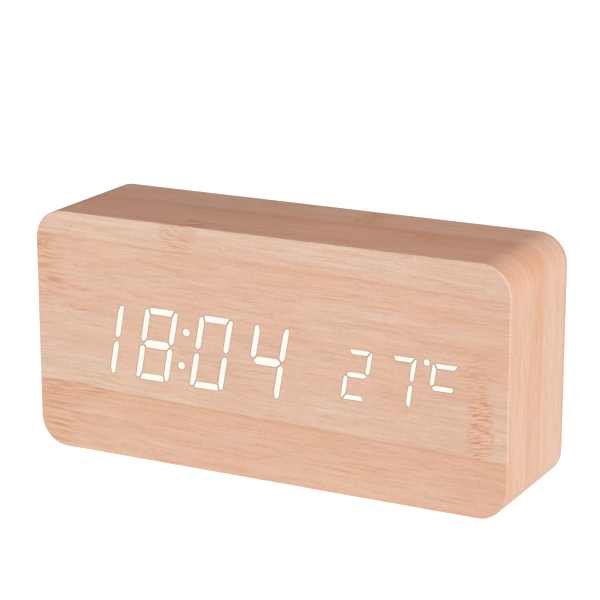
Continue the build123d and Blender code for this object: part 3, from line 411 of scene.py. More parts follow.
# %% Knuckles of the bamboo print
KNUCKLE_SIZES = ("Along", "Across", "Half Length", "Half Width", "Slant")
DASH_LENGTH_SHARE = 0.6
DASH_HEIGHT = 0.5
STAIN_LENGTH = 5.0
STAIN_HEIGHT = 1.7
OVAL_EDGE = (0.0, 0.8)
DASH_EDGE = (0.48, 0.66)
GAP_EDGE = (0.5, 0.34)
STAIN_EDGE = (0.32, 0.6)


def build_bamboo_knuckle():
    """Masks round a centre: dashes in an oval, the gaps between them, and a soft stain.

    The oval is 1 - (along / half length)^2 - (across / half width)^4, held above zero.
    """
    inputs = {"Warped Place": "Vector", **dict.fromkeys(KNUCKLE_SIZES, "Float")}
    outputs = {"Dashes": "Float", "Gaps": "Float", "Stain": "Float"}
    r, given, result = new_group("bamboo_knuckle", inputs, outputs)
    along, across, depth = r.split(given["Warped Place"])
    along = r.minus(along, given["Along"])
    across = r.minus(across, given["Across"])
    oval = 1.0
    for value, half, power in ((along, "Half Length", 2.0), (across, "Half Width", 4.0)):
        share = r.math("ABSOLUTE", r.over(value, given[half]))
        oval = r.minus(oval, r.math("POWER", share, power))
    inside = r.spread(oval, *OVAL_EDGE)
    leaning = r.line(along, given["Slant"], across)

    def stacked(length, height, shift):
        """The place in a noise whose blobs are this long and high and lean with the knuckle."""
        return r.join(r.over(along, length), r.over(leaning, height), shift)

    length = r.times(given["Half Length"], DASH_LENGTH_SHARE)
    dashed = r.noise(stacked(length, DASH_HEIGHT, given["Along"]), detail=1.5)
    blotch = r.noise(stacked(STAIN_LENGTH, STAIN_HEIGHT, given["Across"]))
    r.fill(result, Dashes=r.times(inside, r.spread(dashed, *DASH_EDGE)))
    r.fill(result, Gaps=r.times(inside, r.spread(dashed, *GAP_EDGE)))
    r.fill(result, Stain=r.times(inside, r.spread(blotch, *STAIN_EDGE)))


build_bamboo_knuckle()
print("a knuckle's inputs:", KNUCKLE_SIZES)

# %% [markdown]
# The four pieces of film share one recipe. What differs is how a place on the piece turns
# into a place in the grain, the tone of each strip across the piece, and where the
# knuckles sit. The recipe lays one thing over the other: the print, the tone of the
# strips, patches of another tone, the dark joints between strips, and the knuckles.

# %% What lies over the print
LINE_COLOUR = colour(210, 152, 118)
KNUCKLE_TONES = [
    # mask, share, colour
    ("Stain", 0.6, colour(233, 177, 138)),
    ("Gaps", 0.6, colour(242, 206, 180)),
    ("Dashes", 1.0, colour(209, 146, 109)),
]


def strip_tones(r, across, tones):
    """The tone at each place across the grain: tones are (place in mm, red, green, blue)."""
    low, high = tones[0][0], tones[-1][0]
    stops = [((at - low) / (high - low), (*tone, 1.0)) for at, *tone in tones]
    return r.ramp(r.put("MapRange", {0: across, 1: low, 2: high}), stops)


def add_patches(r, shade, along, across, patches):
    """Patches are ((from, to) along, (from, to) across, width of the soft edge, tone)."""
    for (start, end), (low, high), soft, tone in patches:
        edges = [(along, start, soft), (along, end, -soft)]
        edges += [(across, low, soft), (across, high, -soft)]
        inside = 1.0
        for value, edge, step in edges:
            inside = r.times(inside, r.spread(value, edge - step, edge + step))
        shade = r.mix(inside, shade, r.tinted(shade, (*tone, 1.0)))
    return shade


def add_lines(r, shade, across, lines):
    """Lines are the dark joints between strips: (place in mm, half width in mm, strength)."""
    for at, half_width, strength in lines:
        gap = r.math("ABSOLUTE", r.minus(across, at))
        shade = r.mix(r.spread(gap, half_width, 0.0, 0.0, strength), shade, LINE_COLOUR)
    return shade


def add_knuckles(r, shade, warped_place, knuckles):
    """Knuckles are (along, across, half length, half width, slant, strength), in mm."""
    for *oval, strength in knuckles:
        inputs = {"Warped Place": warped_place, **dict(zip(KNUCKLE_SIZES, oval))}
        knuckle = r.group("bamboo_knuckle", inputs)
        for mask, share, tone in KNUCKLE_TONES:
            shade = r.mix(r.times(knuckle[mask], share * strength), shade, tone)
    return shade


print("layers of a knuckle:", [mask for mask, share, tone in KNUCKLE_TONES])

# %% [markdown]
# On the face, the back and the underside the grain runs along x, and on the face it slopes
# a little. On the wrap it follows the unrolled case. There the length is 0 where the upper
# right corner's arc begins, negative down the right side, and 80 mm at the middle of the
# top. The streaks on the top are a little stronger than elsewhere.

# %% The film's recipe
FACE_TILT = 0.02
CORNER_RADIUS = 8.7
TOP_MIDDLE = 80.0
TOP_REACHES = (60.0, 80.0)
FILM_GLOSS = (0.5, 0.42)


def face_grain(r, place):
    """Grain along x on the face, sloping down to the right a little, as printed."""
    x, y, z = r.split(place)
    return r.join(x, r.line(x, FACE_TILT, z))


def base_grain(r, place):
    """Grain along x on the underside."""
    x, y, z = r.split(place)
    return r.join(x, y)


def wrapped_grain(r, place):
    """Grain round the case."""
    sizes = {
        "Half Width": case_high.x,
        "Half Height": (case_high.z - case_low.z) / 2,
        "Middle Height": case_middle_z,
        "Radius": CORNER_RADIUS * MM,
    }
    return r.group("unrolled_case", {"Place": place, **sizes})["Grain Place"]


def contrast_on_top(r, grain_place, on_top, elsewhere):
    """The streaks' contrast, which changes over the corners from the top's to the sides'."""
    past_middle = r.minus(r.split(grain_place)[0], TOP_MIDDLE * MM)
    near, far = (reach * MM for reach in TOP_REACHES)
    return r.spread(r.math("ABSOLUTE", past_middle), near, far, on_top, elsewhere)


def film(
    name, grain, seed, tones, lines, knuckles, nodes, patches=(), contrast=1.0, top_contrast=None
):
    """The printed film: contrast is how strong its streaks are, top_contrast the same on top."""
    material, r, shader, place = new_material(name, IOR=1.46)
    grain_place = grain(r, place)
    if top_contrast:
        contrast = contrast_on_top(r, grain_place, top_contrast, contrast)
    inputs = {"Grain Place": grain_place, "Seed": seed, "Contrast": contrast, **FILM_COLOURS}
    printed = r.group("bamboo_print", inputs)
    along, across, depth = r.split(printed["Warped Place"])
    shade = r.tinted(printed["Color"], strip_tones(r, across, tones))
    shade = add_patches(r, shade, along, across, patches)
    shade = add_lines(r, shade, across, lines)
    shade = add_knuckles(r, shade, printed["Warped Place"], knuckles)
    r.fill(shader, Base_Color=shade, Roughness=r.spread(printed["Fibre"], 0.2, 0.8, *FILM_GLOSS))
    r.emboss(shader, printed["Fibre"], strength=0.12, depth=0.05)
    dress(material, *nodes)
    return material


print("contrast changes this far from the top's middle, in mm:", TOP_REACHES)

# %% [markdown]
# The photograph shows the face well, so its strips, joints, knuckles and patches follow it.
# There is a pale strip along the top, a broad one with the readout and a warm one along the
# bottom, with knuckles at the left edge and low at the right.

# %% The face
bamboo_face = film(
    "bamboo_face",
    face_grain,
    seed=3,
    tones=[
        (0, 0.985, 0.965, 0.935),
        (7, 0.99, 0.98, 0.95),
        (17.5, 1.0, 0.95, 0.90),
        (19, 1.0, 1.06, 1.07),
        (24, 1.0, 1.055, 1.06),
        (40, 1.005, 1.005, 1.0),
        (54, 1.014, 1.03, 1.03),
        (61, 1.014, 1.01, 0.995),
        (63.4, 1.012, 0.995, 0.975),
        (64.6, 1.016, 1.085, 1.115),
        (72, 1.02, 1.11, 1.15),
    ],
    lines=[(18.3, 0.7, 0.42), (63.4, 0.6, 0.24), (41.5, 0.6, 0.10)],
    knuckles=[
        (-77, 54, 14, 12, 0.03, 0.6),
        (-75, 61, 5, 2.6, 0, 0.9),
        (-66, 49, 10, 1.4, 0, 0.6),
        (-62, 42.4, 6, 1, 0, 0.6),
        (-27, 69, 7, 5, 0.1, 0.6),
        (67, 27.5, 4.6, 10.5, -0.22, 0.85),
        (66, 41, 4.5, 7, -0.15, 0.45),
        (-74, 9, 17, 11, 0.03, 0.62),
        (-62, 17.6, 17, 1.9, 0, 0.7),
        (-20, 58.5, 26, 3, 0, 0.25),
        (34, 57.5, 34, 3, 0, 0.35),
        (30, 11, 30, 4, 0, 0.25),
    ],
    patches=[
        ((69.5, 110), (18.5, 40.8), 0.5, (1.01, 1.05, 1.07)),
        ((-95, -30), (-20, 90), 25, (1.02, 1.04, 1.035)),
        ((-110, -50), (20, 44), 3, (0.995, 1.02, 1.035)),
        ((45, 110), (-20, 90), 20, (0.98, 0.96, 0.945)),
        ((60, 110), (-20, 16), 4, (0.99, 0.97, 0.96)),
        ((60, 110), (41.2, 49.5), 0.8, (0.995, 0.965, 0.93)),
    ],
    nodes=["front_film"],
)

# %% [markdown]
# The photograph shows the wrap's top and right side. A warm strip runs along the middle of
# the top, the back half is paler, and there are knuckles in both and at the front edge.
# Some broad patches are painted light and shade: lighter over the top's right half and its
# corner, darker over its left half and beyond, and a little darker and redder over the whole top.

# %% The wrap
film(
    "bamboo_wrap",
    wrapped_grain,
    seed=11,
    tones=[
        (-20.5, 1.0, 0.945, 0.89),
        (-18.5, 1.0, 0.945, 0.895),
        (-11, 1.025, 1.0, 0.955),
        (-5, 0.99, 0.93, 0.87),
        (-1, 1.0, 0.90, 0.83),
        (2.5, 1.0, 0.93, 0.87),
        (5, 1.0, 1.0, 0.96),
        (11, 1.0, 1.02, 1.005),
        (18.3, 1.0, 1.01, 0.99),
        # painted shade: a grey line along the back edge
        (19.8, 0.86, 0.92, 0.93),
        (20.3, 1.0, 1.0, 0.98),
        (20.5, 1.0, 1.0, 0.98),
    ],
    lines=[(1.6, 0.7, 0.28), (-12.5, 0.6, 0.14), (-6.5, 0.5, 0.12), (13, 0.6, 0.12)],
    knuckles=[
        (50, -19, 5, 4, 0.1, 0.3),
        (62, 12, 6, 8, 0.1, 0.9),
        (38.5, -1, 4.5, 5, 0.1, 0.6),
        (105.5, -17.5, 8, 5, 0.1, 0.95),
        (190, 6, 6, 6, 0.1, 0.4),
        (-70, -9, 6, 6, 0.1, 0.4),
    ],
    patches=[
        ((-18, 6), (-4.5, 4.5), 2, (1.0, 0.96, 0.89)),
        ((-60, -38), (-3, 6), 2, (1.0, 1.05, 1.08)),
        ((-58, -47), (-24, -16.5), 1.5, (1.0, 0.97, 0.93)),
        # painted light: the top's right half and its corner lighter
        ((0, 75), (-25, 25), 12, (1.035, 1.01, 1.01)),
        ((13, 150), (1, 5), 1, (0.965, 0.935, 0.915)),
        ((13, 150), (-7.5, -0.5), 1.5, (1.0, 1.03, 1.04)),
        # painted shade: the whole top a little darker and redder
        ((15, 145), (-25, 25), 3, (1.006, 0.978, 0.982)),
        # painted shade: the top darker towards its left end and beyond
        ((95, 200), (-25, 25), 30, (0.965, 0.955, 0.955)),
    ],
    contrast=1.05,
    top_contrast=1.1,
    nodes=["side_film"],
)

# %% [markdown]
# No photograph shows the back and the underside, so they get the same print with other
# strips and knuckles.

# %% The back and the underside
film(
    "bamboo_back",
    face_grain,
    seed=23,
    tones=[
        (0, 1.0, 0.99, 0.98),
        (30, 0.985, 0.95, 0.92),
        (32, 1.0, 1.0, 1.0),
        (72, 1.0, 0.985, 0.97),
    ],
    lines=[(9, 0.6, 0.2), (31, 0.8, 0.4), (54, 0.6, 0.15)],
    knuckles=[
        (41, 20, 5.5, 10, 0.2, 0.5),
        (-50, 43, 5.5, 10, 0.15, 0.45),
        (20, 64, 5.5, 8, 0.15, 0.4),
    ],
    nodes=["back_film"],
)
film(
    "bamboo_base",
    base_grain,
    seed=37,
    tones=[(-21, 0.99, 0.97, 0.94), (0, 1.0, 1.0, 1.0), (21, 0.99, 0.98, 0.96)],
    lines=[(-7, 0.7, 0.3), (14, 0.6, 0.15)],
    knuckles=[(-30, 3, 6, 9, 0.15, 0.45), (48, -14, 6, 6, 0.15, 0.4)],
    nodes=["base_film"],
)

# %% [markdown]
# ## Bars of light
#
# Behind the face sits a clear plastic bar for each stroke of a figure, lit from behind by
# one small chip, with its end flush with the film. The end is slightly rounded at its
# edge, and there it glows less, as painted shade. The construction model has each bar with
# sharp corners, so its outline is read from there and rounded, and upright bars lose the
# sharp tip at the bottom and the top of the readout. Then it is lofted again: a profile of
# (inset, depth) pairs is carried round every outline at once. A value from 0 to 1 is stored
# at each ring, and the material reads it to dim the edge with painted shade.

# %% Reading outlines from the construction model
FACE_TOLERANCE = 0.001 * MM
PLACE_DIGITS = 7
OUTLINE_POINTS = 120


def front_triangles(node):
    """A node's triangles in the face: points (count, 2) on x and z, and three indices each."""
    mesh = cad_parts[node].data
    mesh.calc_loop_triangles()
    places = np.empty(len(mesh.vertices) * 3)
    mesh.vertices.foreach_get("co", places)
    corners = np.empty(len(mesh.loop_triangles) * 3, int)
    mesh.loop_triangles.foreach_get("vertices", corners)
    triangles = places.reshape(-1, 3)[corners.reshape(-1, 3)]
    front = (np.abs(triangles[:, :, 1] - face_y) < FACE_TOLERANCE).all(axis=1)
    flat = np.round(triangles[front][:, :, [0, 2]], PLACE_DIGITS)
    points, index = np.unique(flat.reshape(-1, 2), axis=0, return_inverse=True)
    return points, index.reshape(-1, 3)


def number_bars(points, triangles):
    """One number for each point, the same all over a bar: the lowest among joined points."""
    label = np.arange(len(points))
    for _ in range(len(points)):
        lowest = label[triangles].min(axis=1)
        new = label.copy()
        np.minimum.at(new, triangles.ravel(), np.repeat(lowest, 3))
        if (new == label).all():
            break
        label = new
    return label


def evenly_spread(corners):
    """Points evenly along a convex outline: its corners are sorted by angle round the middle."""
    spokes = corners - corners.mean(axis=0)
    loop = corners[np.argsort(np.arctan2(spokes[:, 1], spokes[:, 0]))]
    closed = np.vstack([loop, loop[:1]])
    walked = np.concatenate([[0], np.cumsum(np.linalg.norm(np.diff(closed, axis=0), axis=1))])
    even = np.linspace(0, walked[-1], OUTLINE_POINTS, endpoint=False)
    return np.column_stack([np.interp(even, walked, closed[:, axis]) for axis in (0, 1)])


def rounded(loops, passes):
    """Each pass moves every point to the mean of itself and its two neighbours."""
    for _ in range(passes):
        loops = (np.roll(loops, 1, 1) + loops + np.roll(loops, -1, 1)) / 3
    return loops


print("points on each outline:", OUTLINE_POINTS)

# %% Outlines of the lit bars
WINDOW_PASSES = 2
BAR_PASSES = 4
TIME_TRIM = (0.45, 0.6)
TEMPERATURE_TRIM = (0.35, 0.3)


def outlines_of(node, trim):
    """The front outlines of a node's convex bars: two arrays (bars, points, 2) on x and z.

    The first array is the window that the bar stands in. The second is the bar itself, and
    there the sharp ends of upright bars are cut off at the bottom and the top, by trim in mm.
    """
    points, triangles = front_triangles(node)
    label = number_bars(points, triangles)
    windows = np.stack([evenly_spread(points[label == one]) for one in np.unique(label)])
    bars = windows.copy()
    upright = np.ptp(bars[..., 1], axis=1) > np.ptp(bars[..., 0], axis=1)
    low, high = points[:, 1].min() + trim[0] * MM, points[:, 1].max() - trim[1] * MM
    bars[upright, :, 1] = np.clip(bars[upright, :, 1], low, high)
    return rounded(windows, WINDOW_PASSES), rounded(bars, BAR_PASSES)


time_windows, time_outlines = outlines_of("time_bars_lit", TIME_TRIM)
temperature_windows, temperature_outlines = outlines_of("temperature_bars_lit", TEMPERATURE_TRIM)
print("lit bars:", len(time_outlines), "and", len(temperature_outlines))

# %% [markdown]
# A ring is one array sum: outline plus outward normal times the ring's reach. Rings are
# joined by four-sided faces, and the first and last ring are closed by one face each, or
# joined to each other where the piece is a frame. Two frames go round each bar: a thin
# rim painted grey-brown as the shade in the cut, and the film's edge, which closes the gap
# between the rim and the window.

# %% Lofting rings round many outlines at once
def widened(outlines, reaches):
    """The outlines (bars, points, 2) once for each reach in mm: (bars, rings, points, 2).

    A point is outline + normal * reach, where the normal is the outline's tangent turned
    by a right angle.
    """
    tangent = np.roll(outlines, -1, 1) - np.roll(outlines, 1, 1)
    tangent /= np.linalg.norm(tangent, axis=2, keepdims=True)
    normal = np.stack([tangent[..., 1], -tangent[..., 0]], axis=-1)
    reach = np.array(reaches) * MM
    return outlines[:, None] + normal[:, None] * reach[None, :, None, None]


def loft_rings(name, flat, depths, closed, glow=None):
    """One mesh from rings (bars, rings, points, 2) and each ring's depth in mm from the face.

    closed joins the last ring to the first, otherwise both get a cap.
    """
    depth = np.array(depths) * MM + face_y
    bars, ring_count, points = flat.shape[:3]
    deep = np.broadcast_to(depth[None, :, None], (bars, ring_count, points))
    places = np.stack([flat[..., 0], deep, flat[..., 1]], axis=-1).reshape(-1, 3)
    number = np.arange(bars * ring_count * points).reshape(bars, ring_count, points)
    after = np.roll(number, -1, axis=2)
    above = np.roll(number, -1, axis=1)
    above_after = np.roll(after, -1, axis=1)
    quads = np.stack([number, above, above_after, after], axis=-1)
    quads = quads if closed else quads[:, :-1]
    faces = quads.reshape(-1, 4).tolist()
    if not closed:
        faces += number[:, 0].tolist() + number[:, -1, ::-1].tolist()
    mesh = bpy.data.meshes.new(name)
    mesh.from_pydata(places.tolist(), [], faces)
    if glow is not None:
        layer = mesh.attributes.new("glow", "FLOAT", "POINT")
        values = np.broadcast_to(np.array(glow)[None, :, None], number.shape)
        layer.data.foreach_set("value", values.astype(np.float32).ravel())
    mesh.validate()
    print(name, "faces:", len(mesh.polygons))
    return add_object(name, mesh)


print("longest bar in mm:", round(np.ptp(time_windows, axis=1).max() / MM, 1))

# %% The glowing bars
# The low glow values on the outer rings dim each bar's edge as painted shade.
BAR_RINGS = [(0.0, 2.3), (0.0, 0.06), (-0.02, 0.02), (-0.06, 0.0), (-0.2, 0.0)]
BAR_GLOW = [0.0, 0.3, 0.65, 0.9, 1.0]
bar_reaches, bar_depths = zip(*BAR_RINGS)
glowing_bars = []
for part, outlines in (("time", time_outlines), ("temperature", temperature_outlines)):
    rings = widened(outlines, bar_reaches)
    bars = loft_rings(f"glowing_{part}_bars", rings, bar_depths, False, BAR_GLOW)
    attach(bars, "root")
    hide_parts(f"{part}_bars_lit")
    glowing_bars.append(bars)

# %% Frames round the lit bars
RIM_REACHES = (0.0, 0.0, 0.2, 0.2)
RIM_DEPTHS = (0.08, -0.004, -0.004, 0.08)
INNER_EDGE_REACHES = (0.05, 0.05)
OUTER_EDGE_REACHES = (0.1, 0.1)
EDGE_DEPTHS = (0.08, -0.002, -0.002, 0.08)
bar_outlines = np.concatenate([time_outlines, temperature_outlines])
windows = np.concatenate([time_windows, temperature_windows])
# The window rims are a thin sheet of painted shade lining the cut round each lit bar.
window_rims = loft_rings("window_rims", widened(bar_outlines, RIM_REACHES), RIM_DEPTHS, True)
inner = widened(bar_outlines, INNER_EDGE_REACHES)
outer = widened(windows, OUTER_EDGE_REACHES)
film_edges = loft_rings("film_edges", np.concatenate([inner, outer], axis=1), EDGE_DEPTHS, True)
film_edges.data.materials.append(bamboo_face)
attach(film_edges, "root")
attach(window_rims, "root")

# %% [markdown]
# The bars glow warm white. The strength is one number for the whole material, and the
# colour carries the dimming at the edges, which is painted shade. The film is cut out round
# each bar, and a thin rim lines the cut, painted grey-brown as the shade in the cut, where
# the photograph shows a grey outline. Numbers that end in A_METRE say how many blobs of
# noise there are to a metre.

# %% Glow, and rims painted as shade
# The darker stops are painted shade at the bars' edges.
GLOW_STOPS = [
    # stored value, light
    (0.0, (0.10, 0.09, 0.08, 1.0)),
    (0.6, (0.72, 0.68, 0.60, 1.0)),
    (1.0, (0.985, 0.895, 0.835, 1.0)),
]
CLOUD_TINT = (1.0, 0.985, 0.95, 1.0)
CLOUDS_A_METRE = 700
UNLIT_TINT = (0.06, 0.06, 0.06, 1.0)
# blotches in the rims' painted shade
RIM_SHADE_BLOTCHES_A_METRE = 1800


def glowing_material():
    """Warm white light, dimmer towards the edge of each bar as painted shade."""
    material, r, shader, place = new_material("warm_light", Roughness=0.35, Emission_Strength=1.0)
    glow = r.put("Attribute", output="Fac", attribute_name="glow")
    light = r.ramp(glow, GLOW_STOPS, "LINEAR")
    cloud = r.noise(r.scaled(place, CLOUDS_A_METRE), detail=1.0)
    light = r.mix(r.spread(cloud), light, r.tinted(light, CLOUD_TINT))
    r.fill(shader, Emission_Color=light, Base_Color=r.tinted(light, UNLIT_TINT))
    return material


def rim_shade_material():
    """Painted shade in the edge of a cut-out: grey-brown, uneven along its length."""
    material, r, shader, place = new_material("painted_shade_rim", Roughness=0.7)
    uneven = r.noise(r.scaled(place, RIM_SHADE_BLOTCHES_A_METRE))
    shade = r.mix(r.spread(uneven), colour(170, 149, 134), colour(192, 171, 154))
    r.fill(shader, Base_Color=shade)
    r.emboss(shader, uneven, strength=0.2, depth=0.05)
    return material


warm_light = glowing_material()
for bars in glowing_bars:
    bars.data.materials.append(warm_light)
# the rims get painted shade, grey-brown
window_rims.data.materials.append(rim_shade_material())
print("glowing pieces:", [bars.name for bars in glowing_bars])

# %% [markdown]
# ## Moulded plastic
#
# Moulded parts are never quite even. The mould's steel is etched to a fine grain, the
# plastic's tone wanders a little over the part, and it is a shade glossier on the peaks of
# the grain. One group gives grain and tone, and each plastic sets its own grain size.

# %% The etched grain of moulded plastic
COARSE_SHARE = 0.33
SPECK_SHARE = 0.18
GLOSS_SWING = 0.05


def build_moulded_grain():
    """Grain is fine noise plus a third as much at three times the size. Tone is broad."""
    inputs = {"Place": "Vector", "Grain Size": "Float", "Tone Size": "Float"}
    r, given, result = new_group("moulded_grain", inputs, {"Grain": "Float", "Tone": "Float"})
    fine = r.scaled(given["Place"], r.over(1.0, given["Grain Size"]))
    broad = r.scaled(given["Place"], r.over(1.0, given["Tone Size"]))
    coarse = r.noise(r.scaled(fine, COARSE_SHARE), detail=1.0)
    grain = r.line(coarse, COARSE_SHARE, r.noise(fine, detail=1.0))
    tone = r.spread(r.noise(broad, detail=3.0))
    r.fill(result, Grain=r.over(grain, 1 + COARSE_SHARE), Tone=tone)


build_moulded_grain()


def plastic(name, dark, light, nodes, roughness, grain=0.35, depth=0.03, tone=9.0):
    """A moulded plastic between two close colours. Grain size, depth and tone size in mm."""
    material, r, shader, place = new_material(name)
    sizes = {"Place": place, "Grain Size": grain * MM, "Tone Size": tone * MM}
    surface = r.group("moulded_grain", sizes)
    shade = r.mix(surface["Tone"], colour(*dark), colour(*light))
    speck = r.spread(surface["Grain"], to_high=SPECK_SHARE)
    shade = r.mix(speck, shade, colour(*light))
    low, high = roughness - GLOSS_SWING, roughness + GLOSS_SWING
    rough = r.spread(surface["Grain"], 0.35, 0.65, high, low)
    r.fill(shader, Base_Color=shade, Roughness=rough)
    r.emboss(shader, surface["Grain"], strength=0.5, depth=depth)
    dress(material, *nodes)


print("roughness swings by:", GLOSS_SWING)

# %% The plastic pieces
BUTTONS = ["set_button", "up_button", "down_button"]
PLUNGERS = ["set_plunger", "up_plunger", "down_plunger"]
SOCKETS = ["battery_lead_socket", "sensor_lead_socket", "ribbon_sockets"]
BLACK_LEADS = ["battery_lead_black", "sensor_lead"]
# name, two colours, pieces, roughness, then grain size, depth and tone size in mm
plastic("cover_plastic", (208, 170, 143), (212, 174, 147), ["back_cover", "battery_door"], 0.5)
plastic("button_plastic", (38, 37, 37), (46, 45, 45), BUTTONS, 0.28, 0.6, 0.006)
plastic("stem_plastic", (60, 60, 63), (70, 70, 74), PLUNGERS + ["switch_bodies"], 0.5)
plastic("light_box_plastic", (226, 226, 223), (236, 236, 233), ["light_box"], 0.6)
plastic("socket_plastic", (228, 225, 213), (237, 234, 224), SOCKETS, 0.4)
plastic("holder_plastic", (44, 44, 46), (56, 56, 58), ["backup_cell_holder", "alarm_buzzer"], 0.5)
plastic("clear_guide", (216, 214, 208), (228, 226, 220), ["bars_unlit"], 0.3, 0.5, 0.01)
plastic("bead_coating", (52, 50, 52), (62, 60, 62), ["temperature_sensor"], 0.2, 0.5, 0.01)
plastic("red_sleeve", (170, 32, 28), (190, 44, 38), ["battery_lead_red"], 0.42, 0.8, 0.01)
plastic("black_sleeve", (38, 38, 40), (50, 50, 52), BLACK_LEADS, 0.42, 0.8, 0.01)

# %% [markdown]
# ## Metals
#
# The metal parts here are small and plated. What tells them apart is their tone and the
# direction of the fine marks left by rolling, turning or drawing. The group stretches noise
# by a different amount along each axis, so the marks run along the axis with the smallest
# number.

# %% Drawn and rolled metal
METAL_STAINS_A_METRE = 260


def build_drawn_metal():
    """Marks are noise on place times a different number along each axis. Stains are broad."""
    inputs = {"Place": "Vector", "Marks": "Vector"}
    r, given, result = new_group("drawn_metal", inputs, {"Marks": "Float", "Stain": "Float"})
    stretched = r.vector("MULTIPLY", given["Place"], given["Marks"])
    marks = r.noise(stretched, detail=3.0, roughness=0.6)
    stain = r.spread(r.noise(r.scaled(given["Place"], METAL_STAINS_A_METRE)))
    r.fill(result, Marks=marks, Stain=stain)


build_drawn_metal()


def metal(name, dark, light, nodes, marks, roughness):
    """A plated metal: marks are how many fine lines there are to a metre along x, y and z."""
    material, r, shader, place = new_material(name, Metallic=1.0)
    surface = r.group("drawn_metal", {"Place": place, "Marks": marks})
    shade = r.mix(surface["Stain"], colour(*dark), colour(*light))
    rough = r.spread(surface["Marks"], to_low=roughness - 0.06, to_high=roughness + 0.08)
    r.fill(shader, Base_Color=shade, Roughness=rough)
    r.emboss(shader, surface["Marks"], strength=0.3, depth=0.01)
    dress(material, *nodes)


print("node groups:", len(bpy.data.node_groups))

# %% The metal pieces
CONTACTS = ["positive_contact", "negative_contact", "bridge_contact_1", "bridge_contact_2"]
SCREWS = ["cover_screws", "display_screws", "key_board_screws", "sensor_board_screws"]
CANS = ["smoothing_capacitor", "timing_crystal", "microphone", "backup_cell"]
SHELL = ["power_socket_shell"]
# name, two colours, pieces, marks to a metre along x, y and z, roughness
metal("contact_nickel", (196, 192, 183), (214, 211, 204), CONTACTS, (9000, 9000, 400), 0.24)
metal("zinc_screws", (186, 186, 184), (206, 206, 204), SCREWS, (3000, 500, 3000), 0.32)
metal("socket_shell", (192, 191, 188), (210, 209, 206), SHELL, (6000, 600, 6000), 0.28)
metal("can_metal", (190, 190, 192), (212, 212, 214), CANS, (4000, 700, 4000), 0.26)

# %% [markdown]
# ## Wood fibre
#
# The case is fibreboard: brown wood fibres pressed with resin, with paler splinters in it.
# Two noises, stretched across each other, make the felt of fibres.

# %% Fibreboard
# blobs of noise to a metre along x, y and z
LYING_FIBRES = (500, 2600, 2600)
STANDING_FIBRES = (2200, 2600, 600)
SPLINTERS = (350, 3600, 1700)


def fibreboard():
    """Brown felt of fibres, the mean of two stretched noises, and pale splinters."""
    material, r, shader, place = new_material("fibreboard")
    lying = r.noise(r.vector("MULTIPLY", place, LYING_FIBRES), detail=3.0)
    standing = r.noise(r.vector("MULTIPLY", place, STANDING_FIBRES), detail=3.0)
    felt = r.times(r.math("ADD", lying, standing), 0.5)
    shade = r.mix(r.spread(felt, 0.38, 0.62), colour(140, 104, 72), colour(178, 140, 102))
    splinter = r.noise(r.vector("MULTIPLY", place, SPLINTERS), detail=1.0)
    shade = r.mix(r.spread(splinter, 0.62, 0.74, 0.0, 0.7), shade, colour(206, 174, 136))
    r.fill(shader, Base_Color=shade, Roughness=r.spread(felt, to_low=0.92, to_high=0.78))
    r.emboss(shader, felt, strength=0.7, depth=0.08)
    dress(material, "front_board", "case_frame")


fibreboard()

# %% [markdown]
# ## Circuit boards
#
# The boards have a green mask over copper tracks, and tinned pads on a grid of a tenth of
# an inch. The joints of a brick pattern make the tracks, broken up by noise, and a random
# number for each square of the grid says whether it has a pad.

# %% Circuit boards and chips
TRACK_PITCH = 1.9
TRACK_WIDTH_SHARE = 0.16
PAD_PITCH = 2.54
PAD_EDGE_SHARES = (0.34, 0.30)
PADLESS_SHARE = 0.8
BREAKS_A_METRE = 150
MOTTLES_A_METRE = 900


def circuit_board():
    """Green mask, tracks as the joints of a brick pattern, and pads on a square grid."""
    material, r, shader, place = new_material("circuit_board", Coat_Weight=0.4, Coat_Roughness=0.12)
    x, y, z = r.split(place)
    flat = r.join(x, z)
    bricks = {
        "Vector": flat,
        "Scale": 1 / (TRACK_PITCH * MM),
        "Mortar Size": TRACK_WIDTH_SHARE,
        "Mortar Smooth": 0.1,
        "Brick Width": 2.5,
        "Row Height": 1.0,
        "Color1": BLACK,
        "Color2": BLACK,
        "Mortar": WHITE,
    }
    tracks = r.put("TexBrick", bricks)
    unbroken = r.spread(r.noise(r.scaled(place, BREAKS_A_METRE)), 0.45, 0.55)
    tracks = r.times(tracks, unbroken)
    mottled = r.noise(r.scaled(place, MOTTLES_A_METRE))
    mask = r.mix(r.spread(mottled), colour(22, 92, 50), colour(28, 104, 58))
    mask = r.mix(r.times(tracks, 0.8), mask, colour(58, 138, 80))
    cell = r.scaled(flat, 1 / (PAD_PITCH * MM))
    middle = r.vector("SUBTRACT", r.vector("FRACTION", cell), (0.5, 0.5, 0.0))
    away = r.put("VectorMath", {0: middle}, output="Value", operation="LENGTH")
    chosen = r.put("TexWhiteNoise", {"Vector": r.vector("FLOOR", cell)}, output="Value")
    has_pad = r.spread(chosen, PADLESS_SHARE, PADLESS_SHARE + 0.01)
    pads = r.times(r.spread(away, *PAD_EDGE_SHARES), has_pad)
    shade = r.mix(pads, mask, colour(200, 200, 196))
    rough = r.spread(mottled, to_low=0.38, to_high=0.3)
    r.fill(shader, Base_Color=shade, Metallic=pads, Roughness=rough)
    raised = r.math("ADD", tracks, pads)
    r.emboss(shader, raised, strength=0.4, depth=0.035)
    dress(material, "display_board", "key_board", "sensor_board")


circuit_board()
CHIPS = ["controller_chip", "timer_chip", "chip_resistors"]
plastic("chip_plastic", (34, 34, 36), (44, 44, 46), CHIPS, 0.55, 0.25)
plastic("light_chip", (226, 206, 120), (240, 224, 150), ["light_chips"], 0.25, 0.3, 0.01, 0.8)
plastic("socket_tongue", (30, 30, 32), (44, 44, 46), ["power_socket_tongue"], 0.4, 0.3, 0.01)

# %% [markdown]
# ## Ribbon
#
# The ribbon is a row of thin wires side by side in grey plastic, so it has ribs along its
# run, with painted shade in the grooves between them, and one edge is marked red.

# %% The ribbon
WIRE_PITCH = 1.27
RIB_HEIGHT = 0.12
ribbon_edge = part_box("ribbon_cable")[0].x


